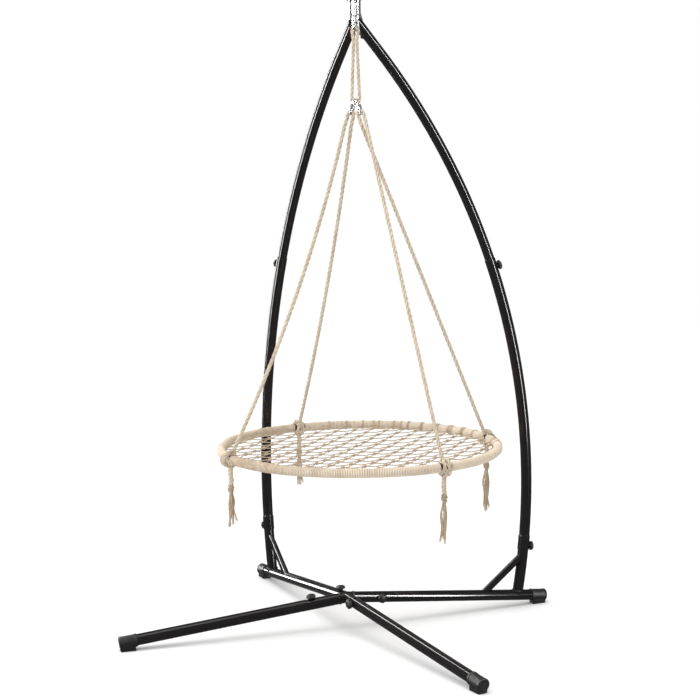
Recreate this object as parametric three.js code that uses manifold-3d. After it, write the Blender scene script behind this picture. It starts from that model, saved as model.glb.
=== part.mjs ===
// Saucer nest swing on a two-armed stand.
//
// Millimetres, +Z up, +X to the swing's right, -Y to its front. The stand is a raised cross of four legs.
// The two rear legs carry bent arms that lean in and meet above the seat. A snap hook, a rope sling and
// two oval links hang there, and two ropes carry the round seat: a wrapped steel hoop with a net.

import * as THREE from 'three';
import { mergeVertices } from 'three/addons/utils/BufferGeometryUtils.js';
import Module from 'manifold-3d';

const wasm = await Module();
wasm.setup();

// ---------------------------------------------------------------- driving dimensions

const GAP = 0.3; // between pieces that touch
const LEFT = -1;
const RIGHT = 1;

// Base: four legs that slope down from a raised hub.
const HUB_HEIGHT = 111.5;
const LEG_END_HEIGHT = 26.5;
const LEG_REACH = 785; // hub centre to the end of a cap, in plan
const REAR_LEG_ANGLE = 46.4; // degrees from straight back
const FRONT_LEG_ANGLE = 52.6; // degrees from straight ahead
const FRONT_STUB = 140; // hub centre to the joint with a front leg
const REAR_STUB = 185;
const FRONT_THROUGH_KNOB = 60; // knobs on the hub's through tube
const REAR_THROUGH_KNOB = 46;
const STUB_KNOB = 125; // knobs on the hub's two welded stubs

// Tubes, as radii.
const LEG_R = 19.2;
const LEG_BORE = 17.6;
const SPIGOT_R = 16.9; // reduced end that plugs into the next tube
const SPIGOT_BORE = 15.4;
const LOWER_ARM_BORE = 18;
const UPPER_ARM_R = 17.4;
const UPPER_ARM_BORE = 16;
const COLLAR_R = 21;
const BRACE_R = 12.5;
const BRACE_BORE = 11;
const SHOULDER = 3; // thickness of the step between a tube and its spigot

// Arms: each is one circular bend in a vertical plane through the hanging axis.
const APEX_SETBACK = 141; // hanging axis behind the hub
const APEX_HEIGHT = 2080; // where the two arms' centre lines would meet
const ARM_BEND_R = 2465;
const POST_REACH = 675; // hub centre to the post, along a rear leg
const POST_FOOT_HEIGHT = 38;
const POST_TOP = 262;
const POST_KNOB = 221;
const COLLAR_FOOT = 206;
const ARM_SPLIT = 1262; // top of the lower arm
const ARM_KNOB = 1233;
const SPIGOT_LENGTH = 80;
const OVERLAP = 90; // upper arm inside the lower arm
const BRACE_REACH = 528; // hub centre to the brace's foot, along a rear leg
const BRACE_TOP = 188;

// Foot caps.
const CAP_R = 22;
const CAP_LENGTH = 60;
const CAP_FLOOR = 4;
const PAD_HALF_WIDTH = 17;
const PAD_LENGTH = 50;

// Apex bracket: a folded strap with the hanger bolt near its top and the arms screwed to its sides.
const STRAP_INNER = 13.5; // half of the gap between the strap's sides
const STRAP = 3.5;
const STRAP_BEND = 2166; // centre of the strap's top bend
const STRAP_FACE = STRAP_INNER + STRAP + GAP; // pieces outside the strap start here
const ARM_END_WALL = 4;
const SCREW_BACK = 21; // arm screws, behind the hanging axis
const SCREW_HEIGHT = 2040;
const HANGER_HEIGHT = 2155;
const HANGER_R = 5;
const BUSHING_R = 8.5;

// Snap hook.
const HOOK_WIRE = 4.5;
const HOOK_BOW = 15.5;
const HOOK_TOP = 2168.8; // centre of the wire over the bushing
const HOOK_BOTTOM = 2049;
const NOSE_HEIGHT = 2117;
const GATE_HEEL = 2068;
const GATE_PIVOT = 2074;
const GATE_R = 4.2;

// Sling: a closed loop of rope, drawn together under the hook.
const SLING_R = 5.5;
const SLING_TOP_BEND = 10.6;
const SLING_NECK = 6.5;
const SLING_LOW_BEND = 14;
const SLING_BOTTOM = 1804.5;

// Oval links, one for each rope.
const LINK_WIRE = 3.5;
const LINK_BOW = 10.5;
const LINK_SPAN = 51; // wire centre to wire centre
const LINK_LEAN = 16; // degrees, outwards
const LINK_OFFSET = 3.8;
const LINK_TOP = 1816.3;

// Seat.
const SEAT_HEIGHT = 614;
const HOOP_RING = 484; // hoop's centre line
const HOOP_R = 9;
const WRAP_BORE = 12.2;
const WRAP_R = 16;
const NET_R = 466;
const NET_THICKNESS = 10;
const NET_SAG = 12;
const ROPE_R = 6;
const ROPE_BEND = 10; // over the link
const RIM_KNOT_R = 25;
const RIM_KNOT_BORE = 12.2;
const RIM_KNOT_HALF = 23;
const TAIL_R = 8.5; // both ends of the hitch, laid together
const TAIL_LENGTH = 62;
// Where each rope meets the rim, in degrees clockwise from straight back, and how long its tassel is.
const ropeEnds = {
  front_left: { angle: 223, tassel: 143 },
  front_right: { angle: 125, tassel: 160 },
  rear_left: { angle: 311, tassel: 133 },
  rear_right: { angle: 51, tassel: 183 },
};

// ---------------------------------------------------------------- materials

const finishes = {
  black_paint: { color: 0x161415, roughness: 0.35, metalness: 0.4 },
  black_plastic: { color: 0x1b1a19, roughness: 0.55, metalness: 0 },
  zinc: { color: 0xd9dadb, roughness: 0.25, metalness: 1 },
  chrome: { color: 0xd4d4d6, roughness: 0.12, metalness: 1 },
  bushing: { color: 0x2a2220, roughness: 0.7, metalness: 0 },
  cotton: { color: 0xebdecb, roughness: 0.95, metalness: 0 },
};

const swing = new THREE.Group();
const hanging = new THREE.Group(); // everything placed from the hanging axis
hanging.position.y = APEX_SETBACK;
swing.add(hanging);

function add(name, geometry, finish, parent = swing) {
  const mesh = new THREE.Mesh(geometry, new THREE.MeshStandardMaterial(finishes[finish]));
  mesh.name = name;
  parent.add(mesh);
}

// ---------------------------------------------------------------- shapes

const degrees = THREE.MathUtils.degToRad;
const at = (x, y, z) => new THREE.Vector3(x, y, z);

// A path that a sweep follows with one step from each point to the next.
class StepPath extends THREE.Curve {
  constructor(points, closed = false) {
    super();
    this.points = points;
    this.closed = closed;
    this.steps = closed ? points.length : points.length - 1;
  }

  getPoint(t, target = new THREE.Vector3()) {
    const { points, steps, closed } = this;
    const place = closed ? (((t % 1) + 1) % 1) * steps : THREE.MathUtils.clamp(t, 0, 1) * steps;
    const first = Math.min(Math.floor(place), steps - 1);
    return target.lerpVectors(points[first], points[(first + 1) % points.length], place - first);
  }

  getPointAt(u, target) {
    return this.getPoint(u, target);
  }

  getTangent(t, target = new THREE.Vector3()) {
    const reach = 0.5 / this.steps;
    const ahead = this.getPoint(t + reach);
    return target.copy(ahead.sub(this.getPoint(t - reach)).normalize());
  }

  getTangentAt(u, target) {
    return this.getTangent(u, target);
  }
}

function circle(radius, sides) {
  return Array.from({ length: sides }, (_, i) => {
    const angle = (2 * Math.PI * i) / sides;
    return new THREE.Vector2(radius * Math.cos(angle), radius * Math.sin(angle));
  });
}

// A tube, or a rod when there is no bore, along a path.
function sweep(path, radius, bore, steps, sides = 10) {
  const section = new THREE.Shape(circle(radius, sides));
  if (bore > 0) section.holes.push(new THREE.Path(circle(bore, sides)));
  return new THREE.ExtrudeGeometry(section, { steps, bevelEnabled: false, extrudePath: path });
}

const rod = (from, to, radius, sides = 10) => sweep(new THREE.LineCurve3(from, to), radius, 0, 1, sides);
const loop = (points, radius) =>
  new THREE.TubeGeometry(new StepPath(points, true), points.length, radius, 8, true);

// A turned piece: [radius, height] pairs up its outside, about +Z.
function turned(profile, segments = 12) {
  const points = profile.map(([radius, height]) => new THREE.Vector2(radius, height));
  return new THREE.LatheGeometry(points, segments).rotateX(Math.PI / 2);
}

// A turned piece with a hole through it.
function ring(bore, radius, from, to, segments = 12) {
  return turned([[bore, to], [bore, from], [radius, from], [radius, to], [bore, to]], segments);
}

function block(x0, x1, y0, y1, z0, z1) {
  const box = new THREE.BoxGeometry(x1 - x0, y1 - y0, z1 - z0);
  return box.translate((x0 + x1) / 2, (y0 + y1) / 2, (z0 + z1) / 2);
}

function toSolid(geometry) {
  const bare = geometry.clone();
  bare.deleteAttribute('normal');
  bare.deleteAttribute('uv');
  const merged = mergeVertices(bare, 1e-3);
  const vertProperties = new Float32Array(merged.attributes.position.array);
  const triVerts = new Uint32Array(merged.index.array);
  return new wasm.Manifold(new wasm.Mesh({ numProp: 3, vertProperties, triVerts }));
}

function toGeometry(solid) {
  const mesh = solid.getMesh();
  const geometry = new THREE.BufferGeometry();
  geometry.setAttribute('position', new THREE.BufferAttribute(new Float32Array(mesh.vertProperties), 3));
  geometry.setIndex(new THREE.BufferAttribute(new Uint32Array(mesh.triVerts), 1));
  geometry.computeVertexNormals();
  return geometry;
}

const join = (geometries) =>
  toGeometry(geometries.map(toSolid).reduce((whole, piece) => whole.add(piece)));
const cut = (geometry, tools) =>
  toGeometry(tools.map(toSolid).reduce((whole, tool) => whole.subtract(tool), toSolid(geometry)));
const common = (a, b) => toGeometry(toSolid(a).intersect(toSolid(b)));

// Matrix that carries +Z to a direction and the origin to a point.
function aim(point, direction) {
  const turn = new THREE.Quaternion().setFromUnitVectors(at(0, 0, 1), direction.clone().normalize());
  return new THREE.Matrix4().compose(point, turn, at(1, 1, 1));
}

const SCREW_R = 4;
const SCREW_LENGTH = 14;
const screwHole = (point, direction) =>
  rod(at(0, 0, 0), at(0, 0, 40), SCREW_R + 0.5, 8).applyMatrix4(aim(point, direction));

// ---------------------------------------------------------------- legs

// The through tube runs from the rear left leg to the front right one.
const legs = {
  front_left: { angle: degrees(180 + FRONT_LEG_ANGLE), stub: FRONT_STUB, knob: STUB_KNOB, up: true },
  front_right: { angle: degrees(180 - FRONT_LEG_ANGLE), stub: FRONT_STUB, knob: FRONT_THROUGH_KNOB, up: false },
  rear_left: { angle: degrees(-REAR_LEG_ANGLE), stub: REAR_STUB, knob: REAR_THROUGH_KNOB, up: true },
  rear_right: { angle: degrees(REAR_LEG_ANGLE), stub: REAR_STUB, knob: STUB_KNOB, up: false },
};
const legSlope = Math.atan2(HUB_HEIGHT - LEG_END_HEIGHT, LEG_REACH);
const legLength = Math.hypot(HUB_HEIGHT - LEG_END_HEIGHT, LEG_REACH);

// Leg frame: +Z out along the leg, +Y up, origin at the hub's centre.
function legMatrix(leg) {
  const flat = Math.cos(legSlope);
  const outward = at(Math.sin(leg.angle) * flat, Math.cos(leg.angle) * flat, -Math.sin(legSlope));
  const across = at(-outward.y, outward.x, 0).normalize();
  const up = new THREE.Vector3().crossVectors(outward, across);
  return new THREE.Matrix4().makeBasis(across, up, outward).setPosition(0, 0, HUB_HEIGHT);
}

const legPoint = (leg, reach) => at(0, 0, reach).applyMatrix4(legMatrix(leg));
const knobDirection = (leg) => (leg.up ? at(0, 1, 0) : at(-1, 0, 0));
const legRod = (from, to, radius) => rod(at(0, 0, from), at(0, 0, to), radius);
const legHole = (leg) => screwHole(at(0, 0, leg.knob), knobDirection(leg));

function hubConnector() {
  const all = Object.values(legs);
  const stubs = all.map((leg) => legRod(0, leg.stub, LEG_R).applyMatrix4(legMatrix(leg)));
  const bores = all.map((leg) =>
    legRod(leg.knob - 26, leg.stub + 10, LEG_BORE).applyMatrix4(legMatrix(leg)),
  );
  const holes = all.map((leg) => legHole(leg).applyMatrix4(legMatrix(leg)));
  return cut(join(stubs), [...bores, ...holes]);
}

// Straight tube with the reduced end that plugs into the hub: its solid and what is cut out of it.
function straightTube(leg) {
  const shoulder = leg.stub + GAP;
  const inner = leg.knob - 22;
  const solids = [
    legRod(inner, shoulder + 1, SPIGOT_R),
    legRod(shoulder, legLength - CAP_FLOOR - GAP, LEG_R),
  ];
  const bores = [
    legRod(inner - 10, shoulder + SHOULDER + 1, SPIGOT_BORE),
    legRod(shoulder + SHOULDER, legLength + 10, LEG_BORE),
    legHole(leg),
  ];
  return {
    solids: solids.map((piece) => piece.applyMatrix4(legMatrix(leg))),
    bores: bores.map((piece) => piece.applyMatrix4(legMatrix(leg))),
  };
}

function frontLeg(leg) {
  const { solids, bores } = straightTube(leg);
  return cut(join(solids), bores);
}

// ---------------------------------------------------------------- arms

// The bend runs through the post's foot and the apex: its centre follows from those two and its radius.
const rearPost = legPoint(legs.rear_right, POST_REACH).setZ(0).sub(at(0, APEX_SETBACK, 0));
const armAngle = Math.atan2(rearPost.x, rearPost.y);
const chord = new THREE.Vector2(-rearPost.length(), APEX_HEIGHT - POST_FOOT_HEIGHT);
const bendOffset = Math.sqrt(ARM_BEND_R ** 2 - chord.lengthSq() / 4);
const bendCentre = new THREE.Vector2(rearPost.length(), POST_FOOT_HEIGHT)
  .addScaledVector(chord, 0.5)
  .addScaledVector(new THREE.Vector2(-chord.y, chord.x).normalize(), bendOffset);

// Centre line of an arm at a height, in the arm's frame (+X away from the hanging axis), and the way out
// of the bend there.
function onArm(height) {
  const rise = height - bendCentre.y;
  const point = at(bendCentre.x + Math.sqrt(ARM_BEND_R ** 2 - rise ** 2), 0, height);
  const outward = at(point.x - bendCentre.x, 0, rise).normalize();
  return { point, outward };
}

// Steps along the bend, with each section square to the bend itself.
class BendPath extends StepPath {
  getTangent(t, target = new THREE.Vector3()) {
    const point = this.getPoint(t);
    return target.set(bendCentre.y - point.z, 0, point.x - bendCentre.x).normalize();
  }
}

// A rod that follows the bend through the given heights.
function bend(heights, radius) {
  const path = new BendPath(heights.map((height) => onArm(height).point));
  return sweep(path, radius, 0, path.steps);
}

const armHole = (height) => screwHole(onArm(height).point, onArm(height).outward);
const armMatrix = (side) =>
  new THREE.Matrix4().makeRotationZ(Math.PI / 2 - side * armAngle).setPosition(0, APEX_SETBACK, 0);

function lowerArm(side) {
  const shoulder = POST_TOP + GAP;
  const overlap = [ARM_SPLIT - OVERLAP, ARM_SPLIT];
  const solid = join([
    bend([shoulder - SPIGOT_LENGTH, shoulder + 1], SPIGOT_R),
    bend([shoulder, 430, 610, 800, 990, ...overlap], LEG_R),
  ]);
  const tube = cut(solid, [
    bend([shoulder - SPIGOT_LENGTH - 10, shoulder + SHOULDER + 1], SPIGOT_BORE),
    bend([shoulder + SHOULDER, 430, 610, 800, 990, ...overlap, ARM_SPLIT + 10], LOWER_ARM_BORE),
    armHole(POST_KNOB),
    armHole(ARM_KNOB),
  ]);
  return tube.applyMatrix4(armMatrix(side));
}

// Everything past an upright plane near the apex, on the far side from an arm.
const past = (side, x) =>
  side === RIGHT
    ? block(-200, x, -100, 300, 1900, 2200)
    : block(-x, 200, -100, 300, 1900, 2200);

// The upper arm's tip is cut upright and closed by a wall with the hole of the screw that holds it.
function upperArm(side) {
  const foot = ARM_SPLIT - OVERLAP;
  const heights = [ARM_SPLIT, 1420, 1580, 1740, 1890, APEX_HEIGHT + 8];
  const solid = bend([foot, ...heights], UPPER_ARM_R).applyMatrix4(armMatrix(side));
  const bore = bend([foot - 10, foot, ...heights], UPPER_ARM_BORE).applyMatrix4(armMatrix(side));
  const screw = rod(at(0, 0, 0), at(side * 32, 0, 0), SCREW_R + 0.4, 8);
  return cut(cut(solid, [past(side, STRAP_FACE)]), [
    cut(bore, [past(side, STRAP_FACE + ARM_END_WALL)]),
    armHole(ARM_KNOB).applyMatrix4(armMatrix(side)),
    screw.translate(0, APEX_SETBACK + SCREW_BACK, SCREW_HEIGHT),
  ]);
}

// Rear leg: leg tube, post, collar and brace welded into one piece.
function rearLeg(side) {
  const leg = side === LEFT ? legs.rear_left : legs.rear_right;
  const { solids, bores } = straightTube(leg);
  const toArm = armMatrix(side);
  const braceFoot = legPoint(leg, BRACE_REACH);
  const braceHead = onArm(BRACE_TOP).point.applyMatrix4(toArm);
  const welded = join([
    ...solids,
    bend([POST_FOOT_HEIGHT, POST_TOP - SPIGOT_LENGTH, POST_TOP], LEG_R).applyMatrix4(toArm),
    bend([COLLAR_FOOT, POST_TOP - 3], COLLAR_R).applyMatrix4(toArm),
    rod(braceFoot, braceHead, BRACE_R, 8),
  ]);
  return cut(welded, [
    ...bores,
    bend([POST_FOOT_HEIGHT + 30, POST_TOP - SPIGOT_LENGTH, POST_TOP + 10], LEG_BORE).applyMatrix4(toArm),
    rod(braceFoot, braceHead, BRACE_BORE, 8),
    armHole(POST_KNOB).applyMatrix4(toArm),
  ]);
}

// ---------------------------------------------------------------- caps and knobs

// Cup with a flat pad under its outer end.
function footCap(leg) {
  const cup = turned([
    [0, legLength - CAP_LENGTH],
    [CAP_R, legLength - CAP_LENGTH],
    [CAP_R, legLength - 3],
    [CAP_R - 3, legLength],
    [0, legLength],
  ]).applyMatrix4(legMatrix(leg));
  const pad = block(-PAD_HALF_WIDTH, PAD_HALF_WIDTH, -PAD_LENGTH, 0, 0, LEG_END_HEIGHT);
  pad.translate(0, LEG_REACH - 4, 0).rotateZ(-leg.angle);
  const bore = legRod(legLength - CAP_LENGTH - 40, legLength - CAP_FLOOR, LEG_R + GAP);
  return cut(join([cup, pad]), [bore.applyMatrix4(legMatrix(leg))]);
}

// Round plastic head on a steel screw.
const knobProfile = [
  [0, -SCREW_LENGTH],
  [SCREW_R, -SCREW_LENGTH],
  [SCREW_R, 0],
  [9, 0],
  [9, 3],
  [16, 4],
  [17, 10],
  [12, 15],
  [0, 16],
];

function addKnob(name, matrix, point, outward, surface) {
  const seat = point.clone().addScaledVector(outward, surface + GAP);
  const knob = turned(knobProfile, 8).applyMatrix4(aim(seat, outward)).applyMatrix4(matrix);
  add(name, knob, 'black_plastic');
}

// ---------------------------------------------------------------- stand

const hands = { left: LEFT, right: RIGHT };

add('hub_cross', hubConnector(), 'black_paint');
add('front_leg_left', frontLeg(legs.front_left), 'black_paint');
add('front_leg_right', frontLeg(legs.front_right), 'black_paint');
for (const [hand, side] of Object.entries(hands)) {
  add('rear_leg_' + hand, rearLeg(side), 'black_paint');
  add('lower_arm_' + hand, lowerArm(side), 'black_paint');
  add('upper_arm_' + hand, upperArm(side), 'black_paint');
  const postKnob = onArm(POST_KNOB);
  const armKnob = onArm(ARM_KNOB);
  addKnob('post_knob_' + hand, armMatrix(side), postKnob.point, postKnob.outward, COLLAR_R);
  addKnob('arm_knob_' + hand, armMatrix(side), armKnob.point, armKnob.outward, LEG_R);
}
for (const [name, leg] of Object.entries(legs)) {
  add('foot_cap_' + name, footCap(leg), 'black_plastic');
  addKnob('hub_knob_' + name, legMatrix(leg), at(0, 0, leg.knob), knobDirection(leg), LEG_R);
}

// ---------------------------------------------------------------- apex

// Side outline of the bracket, as distance behind the hanging axis and height.
const bracketSide = [
  [13, 2108],
  [13, 2200],
  [-13, 2200],
  [-13, 2084],
  [14, 2074],
  [14, 2022],
  [34, 2022],
  [34, 2084],
];

function apexBracket() {
  const outer = STRAP_INNER + STRAP;
  const fold = new THREE.Shape();
  fold.moveTo(STRAP_INNER, 2000);
  fold.lineTo(outer, 2000);
  fold.absarc(0, STRAP_BEND, outer, 0, Math.PI, false);
  fold.lineTo(-outer, 2000);
  fold.lineTo(-STRAP_INNER, 2000);
  fold.absarc(0, STRAP_BEND, STRAP_INNER, Math.PI, 0, true);
  const folded = new THREE.ExtrudeGeometry(fold, { depth: 80, bevelEnabled: false, curveSegments: 6 });
  folded.rotateX(Math.PI / 2).translate(0, 40, 0);
  const outline = new THREE.Shape(bracketSide.map(([back, height]) => new THREE.Vector2(back, height)));
  const profile = new THREE.ExtrudeGeometry(outline, { depth: 80, bevelEnabled: false });
  profile.rotateX(Math.PI / 2).rotateZ(Math.PI / 2).translate(-40, 0, 0);
  return cut(common(folded, profile), [
    rod(at(-40, 0, HANGER_HEIGHT), at(40, 0, HANGER_HEIGHT), HANGER_R + 0.5),
    rod(at(-40, SCREW_BACK, SCREW_HEIGHT), at(40, SCREW_BACK, SCREW_HEIGHT), SCREW_R + 0.4, 8),
  ]);
}

// Lays a turned piece along X.
const alongX = (geometry, side, y, z) => geometry.rotateY((side * Math.PI) / 2).translate(0, y, z);

const hangerBolt = turned([
  [0, -STRAP_FACE - 12],
  [HANGER_R, -STRAP_FACE - 12],
  [HANGER_R, STRAP_FACE],
  [9, STRAP_FACE],
  [9, STRAP_FACE + 6.4],
  [0, STRAP_FACE + 6.4],
]);
const hangerNut = ring(HANGER_R + 0.5, 9, -STRAP_FACE - 8, -STRAP_FACE);
const bushing = ring(HANGER_R + 0.5, BUSHING_R, GAP - STRAP_INNER, STRAP_INNER - GAP, 16);

add('apex_bracket', apexBracket(), 'zinc', hanging);
add('hanger_bolt', alongX(hangerBolt, 1, 0, HANGER_HEIGHT), 'zinc', hanging);
add('hanger_nut', alongX(hangerNut, 1, 0, HANGER_HEIGHT), 'zinc', hanging);
add('hanger_bushing', alongX(bushing, 1, 0, HANGER_HEIGHT), 'bushing', hanging);
for (const [hand, side] of Object.entries(hands)) {
  const screw = turned(
    [
      [0, 8],
      [7.5, 8],
      [7.5, STRAP_INNER - GAP],
      [SCREW_R, STRAP_INNER - GAP],
      [SCREW_R, 27],
      [0, 27],
    ],
    8,
  );
  add('apex_screw_' + hand, alongX(screw, side, SCREW_BACK, SCREW_HEIGHT), 'zinc', hanging);
}

// ---------------------------------------------------------------- snap hook

// Points on an arc in the swing's side or front view, as [across, height] pairs.
function arc(centre, radius, from, to, steps) {
  return Array.from({ length: steps + 1 }, (_, i) => {
    const angle = degrees(THREE.MathUtils.lerp(from, to, i / steps));
    return [centre[0] + radius * Math.cos(angle), centre[1] + radius * Math.sin(angle)];
  });
}

const sideView = (pairs) => pairs.map(([back, height]) => at(0, back, height));
const frontView = (pairs) => pairs.map(([across, height]) => at(across, 0, height));

const hookPath = new StepPath(
  sideView([
    [HOOK_BOW, NOSE_HEIGHT],
    ...arc([0, HOOK_TOP - HOOK_BOW], HOOK_BOW, 0, 180, 8),
    ...arc([0, HOOK_BOTTOM + HOOK_BOW], HOOK_BOW, 180, 360, 8),
    [HOOK_BOW, GATE_HEEL],
  ]),
);
const hookWire = sweep(hookPath, HOOK_WIRE, 0, hookPath.steps, 8);
const tongue = block(-1.7, 1.7, HOOK_BOW - 3.2, HOOK_BOW + 3.2, GATE_HEEL - 2, GATE_PIVOT + 3.5);
const pinHole = rod(at(-20, HOOK_BOW, GATE_PIVOT), at(20, HOOK_BOW, GATE_PIVOT), 1.9, 8);
const gateRod = rod(at(0, HOOK_BOW, GATE_PIVOT - 3), at(0, HOOK_BOW, NOSE_HEIGHT - 0.6), GATE_R, 10);
const gateSlot = block(-2.1, 2.1, 0, 2 * HOOK_BOW, GATE_PIVOT - 10, GATE_PIVOT + 7);
const gatePin = rod(at(-4.4, HOOK_BOW, GATE_PIVOT), at(4.4, HOOK_BOW, GATE_PIVOT), 1.4, 8);

add('carabiner_body', cut(join([hookWire, tongue]), [pinHole]), 'chrome', hanging);
add('carabiner_gate', cut(gateRod, [gateSlot, pinHole]), 'chrome', hanging);
add('gate_pin', gatePin, 'zinc', hanging);

// ---------------------------------------------------------------- sling and links

const lowBendHeight = SLING_BOTTOM + SLING_LOW_BEND;
const neckHeight = HOOK_BOTTOM - 39;
const slingSide = [
  [10.3, HOOK_BOTTOM - 8],
  [8.6, HOOK_BOTTOM - 17],
  [7, HOOK_BOTTOM - 27],
];
for (const share of [0, 0.25, 0.5, 0.75]) {
  const across = THREE.MathUtils.lerp(SLING_NECK, SLING_LOW_BEND, share);
  slingSide.push([across, THREE.MathUtils.lerp(neckHeight, lowBendHeight, share)]);
}
const slingPoints = frontView([
  ...arc([0, HOOK_BOTTOM], SLING_TOP_BEND, 0, 180, 6),
  ...slingSide.map(([across, height]) => [-across, height]),
  ...arc([0, lowBendHeight], SLING_LOW_BEND, 180, 360, 8),
  ...slingSide.toReversed(),
]);
add('sling', loop(slingPoints, SLING_R), 'cotton', hanging);

// Link frame: origin at the middle of its top bow, -Z down its length, +X away from the other link.
function linkMatrix(side) {
  const facing = new THREE.Matrix4().makeRotationZ(side === RIGHT ? 0 : Math.PI);
  const lean = new THREE.Matrix4().makeRotationY(-degrees(LINK_LEAN));
  const place = new THREE.Matrix4().makeTranslation(side * LINK_OFFSET, 0, LINK_TOP);
  return place.multiply(facing).multiply(lean);
}

const linkPoints = sideView([
  ...arc([0, -LINK_BOW], LINK_BOW, 0, 180, 8),
  ...arc([0, LINK_BOW - LINK_SPAN], LINK_BOW, 180, 360, 8),
]);

// ---------------------------------------------------------------- ropes

const rimPoint = (angle) =>
  at(HOOP_RING * Math.sin(degrees(angle)), HOOP_RING * Math.cos(degrees(angle)), SEAT_HEIGHT);
const divide = (from, to, steps) =>
  Array.from({ length: steps }, (_, i) => new THREE.Vector3().lerpVectors(from, to, i / steps));

// How far the middle of each rope's two stretches hangs in from straight: the left rope is a little slack.
const ropeSag = { left: 32, right: 0 };
const LEG_STEPS = 33;

// Half of a rope, from its rim knot up to the side of the link it bends over.
function ropeLeg(side, knotAngle, linkSide, sag) {
  const start = at(linkSide * ROPE_BEND, 0, -LINK_SPAN).applyMatrix4(linkMatrix(side));
  const corner = at(linkSide * ROPE_BEND, 0, -LINK_SPAN - 22).applyMatrix4(linkMatrix(side));
  const knot = rimPoint(knotAngle);
  const down = knot.clone().sub(corner).normalize();
  const end = knot.clone().addScaledVector(down, -RIM_KNOT_R - 1);
  const below = corner.clone().addScaledVector(down, 22);
  const shoulder = new THREE.QuadraticBezierCurve3(below, corner, start);
  const inward = at(-knot.x, -knot.y, 0).projectOnPlane(down).normalize();
  const stretch = divide(end, below, LEG_STEPS);
  stretch.forEach((point, i) => {
    const along = i / LEG_STEPS;
    point.addScaledVector(inward, 4 * sag * along * (1 - along));
  });
  return [...stretch, ...shoulder.getPoints(3)];
}

for (const [hand, side] of Object.entries(hands)) {
  add('link_' + hand, loop(linkPoints, LINK_WIRE).applyMatrix4(linkMatrix(side)), 'chrome', hanging);
  const sleeve = ring(LINK_WIRE + 0.4, 5.6, -9, 9, 8).translate(0, LINK_BOW, -LINK_SPAN / 2);
  add('link_sleeve_' + hand, sleeve.applyMatrix4(linkMatrix(side)), 'zinc', hanging);

  const over = frontView(arc([0, -LINK_SPAN], ROPE_BEND, 0, 180, 8).slice(1, -1));
  const ropePath = new StepPath([
    ...ropeLeg(side, ropeEnds['front_' + hand].angle, 1, ropeSag[hand]),
    ...over.map((point) => point.applyMatrix4(linkMatrix(side))),
    ...ropeLeg(side, ropeEnds['rear_' + hand].angle, -1, ropeSag[hand]).reverse(),
  ]);
  add('rope_' + hand, sweep(ropePath, ROPE_R, 0, ropePath.steps, 8), 'cotton', hanging);
}

// ---------------------------------------------------------------- seat

const hoop = new THREE.TorusGeometry(HOOP_RING, HOOP_R, 8, 40).translate(0, 0, SEAT_HEIGHT);
add('rim_hoop', hoop, 'black_paint', hanging);

// Wrapping between two knots, clockwise from above.
const knotSpan = THREE.MathUtils.radToDeg((RIM_KNOT_HALF + 3) / HOOP_RING);
function rimWrap(from, to) {
  const steps = Math.round((to - from) / 9);
  const angles = Array.from({ length: steps + 1 }, (_, i) =>
    THREE.MathUtils.lerp(from + knotSpan, to - knotSpan, i / steps),
  );
  return sweep(new StepPath(angles.map(rimPoint)), WRAP_R, WRAP_BORE, steps, 8);
}

const { front_left, front_right, rear_left, rear_right } = ropeEnds;
add('rim_wrap_right', rimWrap(rear_right.angle, front_right.angle), 'cotton', hanging);
add('rim_wrap_front', rimWrap(front_right.angle, front_left.angle), 'cotton', hanging);
add('rim_wrap_left', rimWrap(front_left.angle, rear_left.angle), 'cotton', hanging);
add('rim_wrap_rear', rimWrap(rear_left.angle, rear_right.angle + 360), 'cotton', hanging);

// Carries a piece made about +Z onto the rim, along it.
function rimMatrix(angle) {
  const tangent = at(Math.cos(degrees(angle)), -Math.sin(degrees(angle)), 0);
  return aim(rimPoint(angle), tangent);
}

// Net: a shallow dish that fills the hoop, notched for the rope knots.
function netDish() {
  const dish = [0, 0.6, 1].map((share) => [NET_R * share, NET_SAG * (share ** 2 - 1)]);
  const below = dish.map(([radius, height]) => [radius, height - NET_THICKNESS / 2]);
  const above = dish.toReversed().map(([radius, height]) => [radius, height + NET_THICKNESS / 2]);
  const reach = RIM_KNOT_HALF + 2;
  const notches = Object.values(ropeEnds).map(({ angle }) =>
    rod(at(0, 0, -reach), at(0, 0, reach), RIM_KNOT_R + 1.5).applyMatrix4(rimMatrix(angle)),
  );
  return cut(turned([...below, ...above], 30).translate(0, 0, SEAT_HEIGHT), notches);
}
add('net', netDish(), 'cotton', hanging);

for (const [name, { angle, tassel }] of Object.entries(ropeEnds)) {
  const collar = ring(RIM_KNOT_BORE, RIM_KNOT_R, -RIM_KNOT_HALF, RIM_KNOT_HALF, 10);
  add('rim_knot_' + name, collar.applyMatrix4(rimMatrix(angle)), 'cotton', hanging);

  const tailTop = rimPoint(angle).add(at(0, 0, -RIM_KNOT_R - GAP));
  const tailEnd = tailTop.clone().add(at(0, 0, -TAIL_LENGTH));
  const tail = sweep(new THREE.LineCurve3(tailTop, tailEnd), TAIL_R, 0, 2, 8);
  add('tail_' + name, tail, 'cotton', hanging);

  const bundle = turned(
    [
      [0, -tassel],
      [20, -tassel],
      [14, -tassel * 0.6],
      [8, -26],
      [11, -16],
      [11, -8],
      [7, 0],
      [0, 0],
    ],
    8,
  );
  bundle.translate(tailEnd.x, tailEnd.y, tailEnd.z - GAP);
  add('tassel_' + name, bundle, 'cotton', hanging);
}

// ---------------------------------------------------------------- frame

// Origin on the ground, under the middle of the whole object.
swing.updateMatrixWorld(true);
const bounds = new THREE.Box3().setFromObject(swing, true);
const middle = bounds.getCenter(new THREE.Vector3());
swing.position.set(-middle.x, -middle.y, -bounds.min.z);

const part = new THREE.Group();
part.add(swing);
export default part;
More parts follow.
